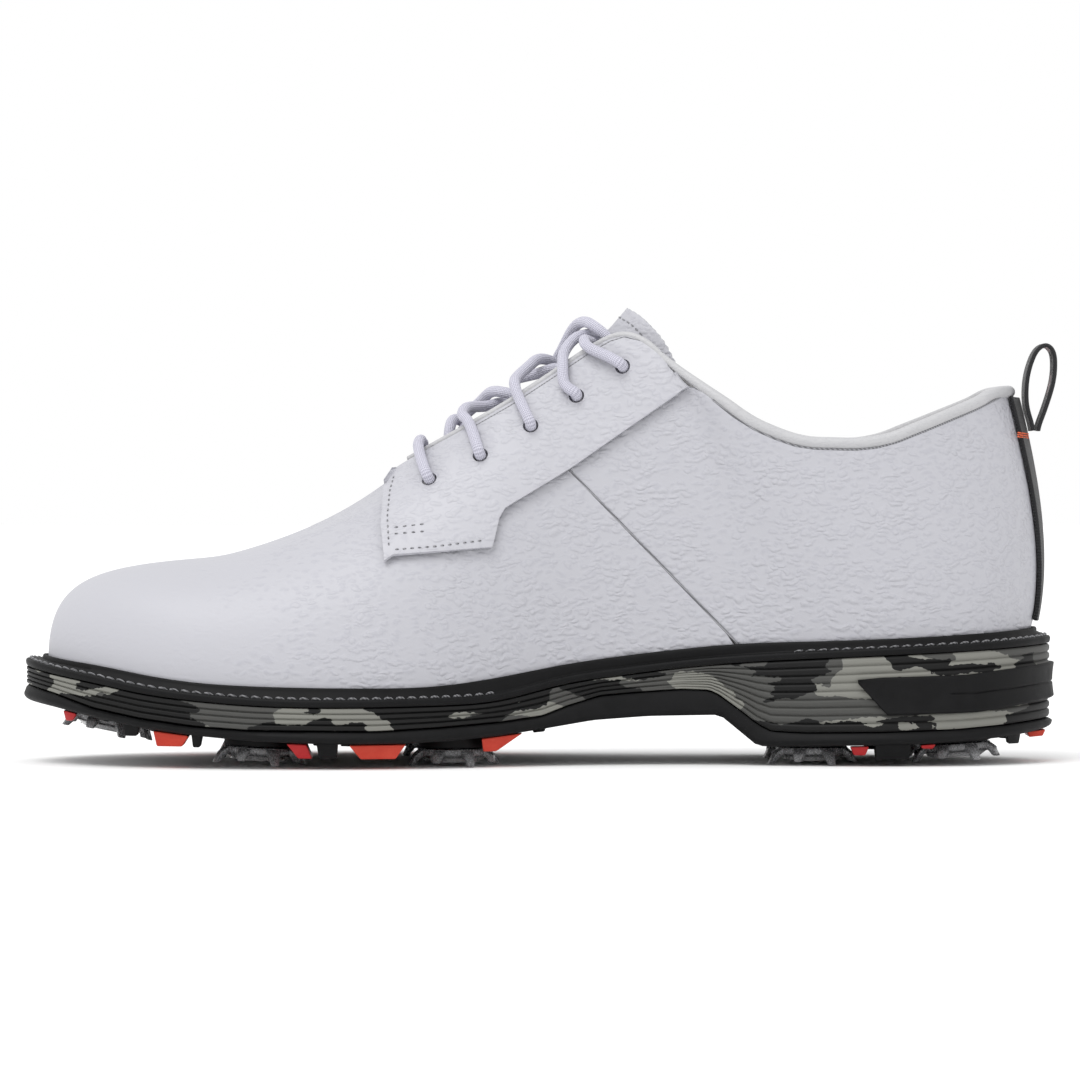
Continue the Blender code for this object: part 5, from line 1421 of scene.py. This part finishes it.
# %% Where the cleats sit
# name, x, y, tilt in degrees, z
CLEATS = [("toe", -127, -6, 11.6, 13.6),
          ("ball_medial", -81.5, -33, 3, 5.95), ("ball_lateral", -83, 30, 3, 5.95),
          ("arch_medial", -25, -27, 0, 5.2), ("arch_lateral", -28, 31, 0, 5.2),
          ("heel_front_medial", 80.6, -17.5, 0, 5.2), ("heel_front_lateral", 80.6, 20, 0, 5.2),
          ("heel_back_medial", 122.6, -17.5, -3.5, 6.4), ("heel_back_lateral", 122.6, 17.5, -3.5, 6.4)]
CLEAT_DEPTH, CLEAT_REACH = 5.2, 14.2
POST_RADIUS, SOCKET_RADIUS = 5.0, 8.4
BOSS_RADIUS, BOSS_HEIGHT = 10.5, 3.6


def seat(x, y, tilt, z):
    """Where a cleat sits: its axis points up out of the sole's face."""
    return Matrix.Translation(Vector(placed([(x, y, z)])[0])) @ Matrix.Rotation(math.radians(tilt), 4, "Y")


def drum(radius, top, bottom, sides, rim_width):
    """A round block with its axis at the origin, softened at its rims."""
    bpy.ops.object.select_all(action="DESELECT")
    bpy.ops.mesh.primitive_cylinder_add(vertices=sides, radius=radius * MM, depth=(top - bottom) * MM,
                                        location=(0, 0, (top + bottom) / 2 * MM))
    part = bpy.context.object
    bpy.ops.object.transform_apply(location=True, rotation=True, scale=True)
    return bevelled(part, rim_width, 2, 40) if rim_width else part


print("cleats:", len(CLEATS))

# %% [markdown]
# A cleat is modelled once: a hub with a dished face, two holes for the wrench, and eight flexible legs that
# splay outwards. The legs are long and short in turn, so that they bend one after the other on hard ground.
# The hub is a drum whose lower face is inset and moved three times, and then joined to the legs.

# %% One cleat
LEGS = 8
WRENCH_HOLE = 7.4                                       # from the axis
HUB_STEPS = [(3.2, -0.75), (2.4, 0.55), (1.2, -0.35)]   # (inset, move along the axis)


def leg(number):
    """One leg: a side view swept sideways, narrower at the foot, turned to its place round the hub."""
    long = number % 2 == 0
    depth, reach = (CLEAT_DEPTH, CLEAT_REACH) if long else (CLEAT_DEPTH - 0.9, CLEAT_REACH - 1.3)
    side_view = [(6.5, -0.8), (10.6, -0.7), (12.4, -2.0), (reach, -depth), (reach - 1.6, -depth),
                 (11.0, -3.1), (9.2, -2.2), (6.5, -2.4)]
    widths = [2.0, 1.9, 1.6, 1.05, 1.05, 1.5, 1.9, 2.0]
    turn = math.radians((number + 0.5) * 360 / LEGS)
    points = []
    for sign in (-1, 1):
        for (r, z), half in zip(side_view, widths):
            points.append((r * math.cos(turn) - sign * half * math.sin(turn),
                           r * math.sin(turn) + sign * half * math.cos(turn), z))
    n = len(side_view)
    faces = [tuple(range(n)), tuple(range(2 * n - 1, n - 1, -1))]
    faces += [((i + 1) % n, i, n + i, n + (i + 1) % n) for i in range(n)]
    mesh = bpy.data.meshes.new("leg")
    mesh.from_pydata([(x * MM, y * MM, z * MM) for x, y, z in points], [], faces)
    part = bpy.data.objects.new("leg", mesh)
    bpy.context.scene.collection.objects.link(part)
    join_points(part, 0.001, outwards=True)
    return bevelled(part, 0.28, 2, 35)


def cleat():
    hub = drum(10.5, -0.3, -2.4, 48, 0.5)
    select_only(hub)
    bpy.ops.object.mode_set(mode="EDIT")
    bpy.ops.mesh.select_all(action="DESELECT")
    work = bmesh.from_edit_mesh(hub.data)
    for face in work.faces:
        face.select_set(face.normal.z < -0.9)
    bmesh.update_edit_mesh(hub.data)
    for inset, move in HUB_STEPS:
        bpy.ops.mesh.inset(thickness=inset * MM)
        bpy.ops.transform.translate(value=(0, 0, move * MM))
    bpy.ops.object.mode_set(mode="OBJECT")
    hub = boolean(hub, drum(POST_RADIUS - 0.1, 2.2, -1.0, 32, 0.3), "UNION")
    for number in range(LEGS):
        hub = boolean(hub, leg(number), "UNION")
    for x in (-WRENCH_HOLE, WRENCH_HOLE):
        hole = drum(1.05, 1.0, -4.0, 16, 0)
        hole.data.transform(Matrix.Translation((x * MM, 0, 0)))
        hub = boolean(hub, hole, "DIFFERENCE")
    hub.name = "cleat_pattern"
    return hub


pattern = cleat()
for name, *place in CLEATS:
    copy = bpy.data.objects.new("smoked_cleat_" + name, pattern.data.copy())
    bpy.context.scene.collection.objects.link(copy)
    copy.data.transform(seat(*place))
    dressed(copy, SMOKED_URETHANE, "cleat_" + name, ["cleat_" + name], smooth=35)
    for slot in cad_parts["receptacle_" + name].material_slots:
        slot.material = BLACK_NYLON
bpy.data.objects.remove(pattern)

# %% [markdown]
# The outsole is the black tread layer. Bosses are added under the cleats and lugs along the edge, then the
# round wells for the sockets are cut, in the order a mould maker would work.

# %% Outsole
def edge_y(x, side, out):
    """y of the sole's side edge at x."""
    line = rim(np.linspace(0.001, 0.999, 300), side, (EDGE, out), 0)
    return float(np.interp(x, line[:, 0], line[:, 1]))


def lug(name, side, top, foot, depth, width=13.0, bury=0.0):
    """A block under the sole's edge: top and foot are its x ranges, depth its height below the sole."""
    points = []
    foot_z = float(outsole_bottom(0.5 * (foot[0] + foot[1]))) - depth
    for (x0, x1), low, inset in ((top, False, 1.6), (foot, True, 2.6)):
        for x in (x0, x1):
            z = foot_z if low else float(outsole_bottom(x)) + bury
            outer = edge_y(x, side, -inset)
            points += [(x, outer, z), (x, outer - side * (width - inset), z)]
    faces = [(0, 1, 3, 2), (4, 6, 7, 5), (0, 2, 6, 4), (1, 5, 7, 3), (0, 4, 5, 1), (2, 3, 7, 6)]
    return join_points(new_piece(name, points, faces), 0.001, outwards=True)


tread_rings = [((EDGE, out), above(outsole_top, -0.45)) for out in (-3.0, -0.6)]
tread_rings += [((EDGE, 0.1), between(outsole_top, outsole_bottom, 0.3, 0.45, 1.6))]
TREAD_SECTION = [(0.7, 1.9), (0.75, 1.5), (0.55, 0.9), (0.1, 0.45), (-0.7, 0.12), (-1.7, 0), (-4.0, 0)]
tread_rings += [((EDGE, out), above(outsole_bottom, rise)) for out, rise in TREAD_SECTION]
outsole = layer("tread_outsole", tread_rings, np.linspace(0, 1, 141))
for name, x, y, tilt, z in CLEATS:
    if outsole_bottom(x) - z > 0.3:
        boss = drum(BOSS_RADIUS, BOSS_HEIGHT, 0.0, 48, 0.5)
        boss.data.transform(seat(x, y, tilt, z))
        outsole = boolean(outsole, boss, "UNION")
# (top from and to, foot from and to, depth)
BLACK_LUGS = [((-121.5, -116), (-120.5, -117), 3.0), ((-100.8, -97.5), (-100.3, -98.3), 3.4),
              ((-64.5, -58.2), (-63.5, -58.6), 4.2), ((98, 108.8), (98.6, 108.2), 4.3),
              ((137.4, 142), (138, 141.4), 2.6)]
for top, foot, depth in BLACK_LUGS:
    for side in (MEDIAL, LATERAL):
        block = bevelled(lug("block", side, top, foot, depth, 11.0, 0.8), 0.4, 2, 30)
        outsole = boolean(outsole, block, "UNION")
for name, *place in CLEATS:
    well = drum(SOCKET_RADIUS + 0.35, 12.0, -8.0, 48, 0)
    well.data.transform(seat(*place))
    outsole = boolean(outsole, well, "DIFFERENCE")
dressed(outsole, BLACK_RUBBER, "shoe", ["outsole"], smooth=35)

# %% [markdown]
# Red lugs are moulded from a harder urethane and set into the sole's edge in pairs, one on each side. Some
# are of a darker red. A small one stands alone at the back of the heel.

# %% Red lugs
RED_LUGS = [("tip", (-139.5, -135.3), (-138.8, -136.6), 3.0, 8.0),
            ("toe", (-112, -101.5), (-111, -103.5), 4.2, 13.0),
            ("mid", (-73, -67.2), (-69.6, -65.6), 4.4, 13.0),
            ("ball", (-54.9, -38.6), (-51.6, -41.5), 4.4, 13.0),
            ("arch", (-16.7, -4.8), (-16.2, -12.5), 4.3, 8.0), ("heel", (91, 96.4), (92, 95.4), 2.9, 7.0),
            ("rear", (111.4, 116), (112, 115.2), 1.5, 7.0)]
DARK_LUGS = ("mid", "heel", "rear", "tip")
for name, top, foot, depth, width in RED_LUGS:
    for side, word in WORD.items():
        node = "lug_%s_%s" % (name, word)
        block = bevelled(lug("red_" + node, side, top, foot, depth, width, -0.3), 0.45, 3, 30)
        finish = DARK_RED_URETHANE if name in DARK_LUGS else RED_URETHANE
        dressed(block, finish, "shoe", [node], smooth=40)
half_block = ((144.7, 8, 8.65), (150.4, 6, 9.35), (145.4, 7, 7.1), (149.6, 5, 7.4))
corners = [(x, 0.5 + y, z) for x, y, z in half_block]
corners = [(x, 1.0 - y, z) for x, y, z in corners] + corners
back_faces = [(0, 1, 3, 2), (4, 6, 7, 5), (0, 4, 5, 1), (2, 3, 7, 6), (0, 2, 6, 4), (1, 5, 7, 3)]
block = join_points(new_piece("red_lug_back", corners, back_faces), 0.001, outwards=True)
dressed(bevelled(block, 0.35, 3, 30), RED_URETHANE, "shoe", ["lug_back"], smooth=40)


# %% [markdown]
# Small black chevrons fill the tread between the cleats. They stand a little proud of the sole and give it
# its bite. There are many, so each is a plain block of a few faces, and all are one mesh.

# %% Tread chevrons
CHEVRON = ((-2.2, 0), (0.4, -2.6), (2.2, -2.6), (0.2, 0), (2.2, 2.6), (0.4, 2.6))
CHEVRON_PITCH, CHEVRON_MARGIN = 8.0, -7.0
CHEVRON_LIDS = ((0, 5, 4, 3), (0, 3, 2, 1), (6, 7, 8, 9), (6, 9, 10, 11))


def chevrons():
    points, faces = [], []
    for x in np.arange(-136, 140, CHEVRON_PITCH):
        for y in np.arange(-40, 41, CHEVRON_PITCH):
            low, high = (edge_y(x, side, CHEVRON_MARGIN) for side in (MEDIAL, LATERAL))
            clear = all(math.hypot(x - cx, y - cy) > BOSS_RADIUS + 6.5 for _, cx, cy, _, _ in CLEATS)
            if not (low < y < high and clear) or 2 < x < 70:
                continue
            first = len(points)
            for shrink, drop in ((1.0, -0.25), (0.72, 1.1)):
                for px, py in CHEVRON:
                    spot_x, spot_y = x + px * shrink, y + py * shrink
                    points.append((spot_x, spot_y, float(outsole_bottom(spot_x)) - drop))
            faces += [tuple(first + corner for corner in lid) for lid in CHEVRON_LIDS]
            for i in range(6):
                n = (i + 1) % 6
                faces.append((first + i, first + n, first + 6 + n, first + 6 + i))
    return join_points(new_piece("tread_chevrons", points, faces), 0.0005, outwards=True)


dressed(chevrons(), BLACK_NYLON, smooth=30)


# %% [markdown]
# The lace is a round braid of one length, laced criss-cross from a straight bar over the first eyelets. It
# goes through every hole and lies over one facing and under the other, and its ends are tucked in beside
# the tongue. The shoe holds it all the way, so it is swept along its route and not left to hang.

# %% Lace
LACE_RADIUS = 1.65
INSIDE = -2.4          # lift of the lace where it runs between facing and tongue
OUTSIDE = FACING_LIFT + LACE_RADIUS + 0.5
EDGE_Y = 11.2          # half the width of the gap that the lace bridges
EYELET_X = [x + EDGE_TRIM[0] for x, z in EYELETS]


def spot(x, y, lift):
    """The point at this lift over the surface, near x, y seen from above."""
    side = MEDIAL if y < 0 else LATERAL
    u, t = seen_from_above(side, x, y)
    return lifted(u, t, side, lift)


EYES = {}
for side in (MEDIAL, LATERAL):
    for n in range(len(EYELETS)):
        u, t = eyelet_at(side, n)
        EYES[side, n] = {lift: lifted(u, t, side, lift) for lift in (INSIDE, -0.6, 1.6, OUTSIDE)}
        EYES[side, n]["y"] = float(EYES[side, n][1.6][1])


def through(side, n, outwards):
    """The points of the lace on its way through an eyelet."""
    eye = EYES[side, n]
    points = [eye[INSIDE], eye[-0.6], eye[1.6], eye[OUTSIDE]]
    return points if outwards else points[::-1]


def crossing(side, n, upper):
    """From the outside of eyelet n, over the facing's edge, to under the other facing at eyelet n + 1."""
    x, beyond_x = EYELET_X[n:n + 2]
    far_y = EYES[-side, n + 1]["y"]
    over = 2.0 if n == 3 else 0.0       # the last crossing lies on the part of the tongue that stands up
    return [spot(x - 2.6, side * (EDGE_Y + 2.8), OUTSIDE), spot(x - 3.4, side * EDGE_Y, OUTSIDE + 0.3),
            spot(x - 2.6, side * 8.0, OUTSIDE - 0.9),
            spot(x + 0.5, side * 4.0, over + (2.0 if upper else -0.6)),
            spot(x + 3.0, 0.0, over + (1.4 if upper else -2.7)),
            spot(x + 6.5, -side * 5.0, over + (-0.6 if upper else -3.2)),
            spot(beyond_x - 4.2, -side * (EDGE_Y - 0.7), INSIDE),
            spot(beyond_x - 2.0, 0.5 * (far_y - side * (EDGE_Y + 1.0)), INSIDE)]


def lace_half(side, upper):
    """From the bar across the first eyelets up to a hidden end, for the end that goes in on this side."""
    points = through(side, 0, False)
    x0, x1 = EYELET_X[:2]
    points += [spot(x0 + 3.0, side * 9.5, INSIDE),
               spot(0.5 * (x0 + x1), 0.0, INSIDE + (4.2 if upper else 0.0)),
               spot(x1 - 4.0, -side * 9.5, INSIDE)]
    here = -side
    for n in range(1, 4):
        points += through(here, n, True)
        points += crossing(here, n, upper)
        here = -here
    points += through(here, 4, True)
    x = EYELET_X[4]
    points += [spot(x - 4.6, here * 13.4, OUTSIDE + 0.2), spot(x - 9.3, here * 10.6, OUTSIDE + 0.3),
               spot(x - 10.6, here * 8.3, OUTSIDE - 1.2), spot(x - 10.3, here * 7.3, 0.6),
               spot(x - 9.9, here * 6.9, -1.6), spot(x - 9.6, here * 6.6, -2.9)]
    return points


bar = [spot(EYELETS[0][0] - 0.4, y, OUTSIDE + rise)
       for y, rise in ((-10.5, 0.2), (-5, -0.8), (0, -1.2), (5, -0.8), (10.5, 0.2))]
first, second = lace_half(MEDIAL, True), lace_half(LATERAL, False)
lace_line = smooth_line(first[::-1] + bar + second, 820)
lace = cord("braided_shoelace", lace_line, LACE_RADIUS, 14)
dressed(lace, WHITE_LACE, "shoe", ["shoelace"])
print("lace:", round(float(np.linalg.norm(np.diff(lace_line, axis=0), axis=1).sum())), "mm")

# %% [markdown]
# The studio is a plain pale floor with white light from all round and one very large soft light above, so
# the sides stay light and the shadow under the sole stays soft.

# %% Studio
bpy.ops.object.select_all(action="DESELECT")
bpy.ops.mesh.primitive_plane_add(size=12, location=(0, 0, -0.0002))
floor = bpy.context.object
floor.name = "studio_floor"
paper, tree = new_finish("matt_studio_paper")
place = add(tree, "TexCoord").outputs["Object"]
fibres = add(tree, "TexNoise", None, {"Vector": place, "Scale": per_mm(1.5)})
surface(tree, {"Base Color": linear("F7F7F7"), "Roughness": 0.95}, fibres.outputs["Fac"], 0.1, 0.05)
floor.data.materials.append(paper)

world = bpy.data.worlds.new("studio")
world.use_nodes = True
bpy.context.scene.world = world
background = world.node_tree.nodes["Background"]
background.inputs["Color"].default_value = (1.0, 1.0, 1.0, 1.0)
background.inputs["Strength"].default_value = 1.0

light = bpy.data.lights.new("large_soft_light", "SUN")
light.energy = 1.45
light.angle = math.radians(35)
lamp = bpy.data.objects.new("large_soft_light", light)
lamp.rotation_euler = Vector((-0.3, -0.45, 1)).to_track_quat("Z", "Y").to_euler()
bpy.context.scene.collection.objects.link(lamp)
print("light:", lamp.name)

# %% [markdown]
# The camera stands on the medial side, nearly level with the shoe, with a long lens. Its lens is worked out
# from the sensor, its distance and the width that it has to show there.

# %% Camera
DISTANCE, RISE, WIDTH = 1.8, 0.8, 0.3213       # metres, degrees, metres
SENSOR = 36                                    # millimetres
camera = bpy.data.objects.new("camera", bpy.data.cameras.new("camera"))
camera.data.sensor_width = SENSOR
camera.data.lens = SENSOR * DISTANCE / WIDTH
aim = Vector((-0.0002, 0.0, 0.0655))
back = Vector((0, -math.cos(math.radians(RISE)), math.sin(math.radians(RISE))))
camera.location = aim + back * DISTANCE
camera.rotation_euler = (-back).to_track_quat("-Z", "Y").to_euler()
bpy.context.scene.collection.objects.link(camera)
bpy.context.scene.camera = camera
bpy.context.scene.view_settings.view_transform = "Standard"
print("lens:", round(camera.data.lens, 1), "mm")
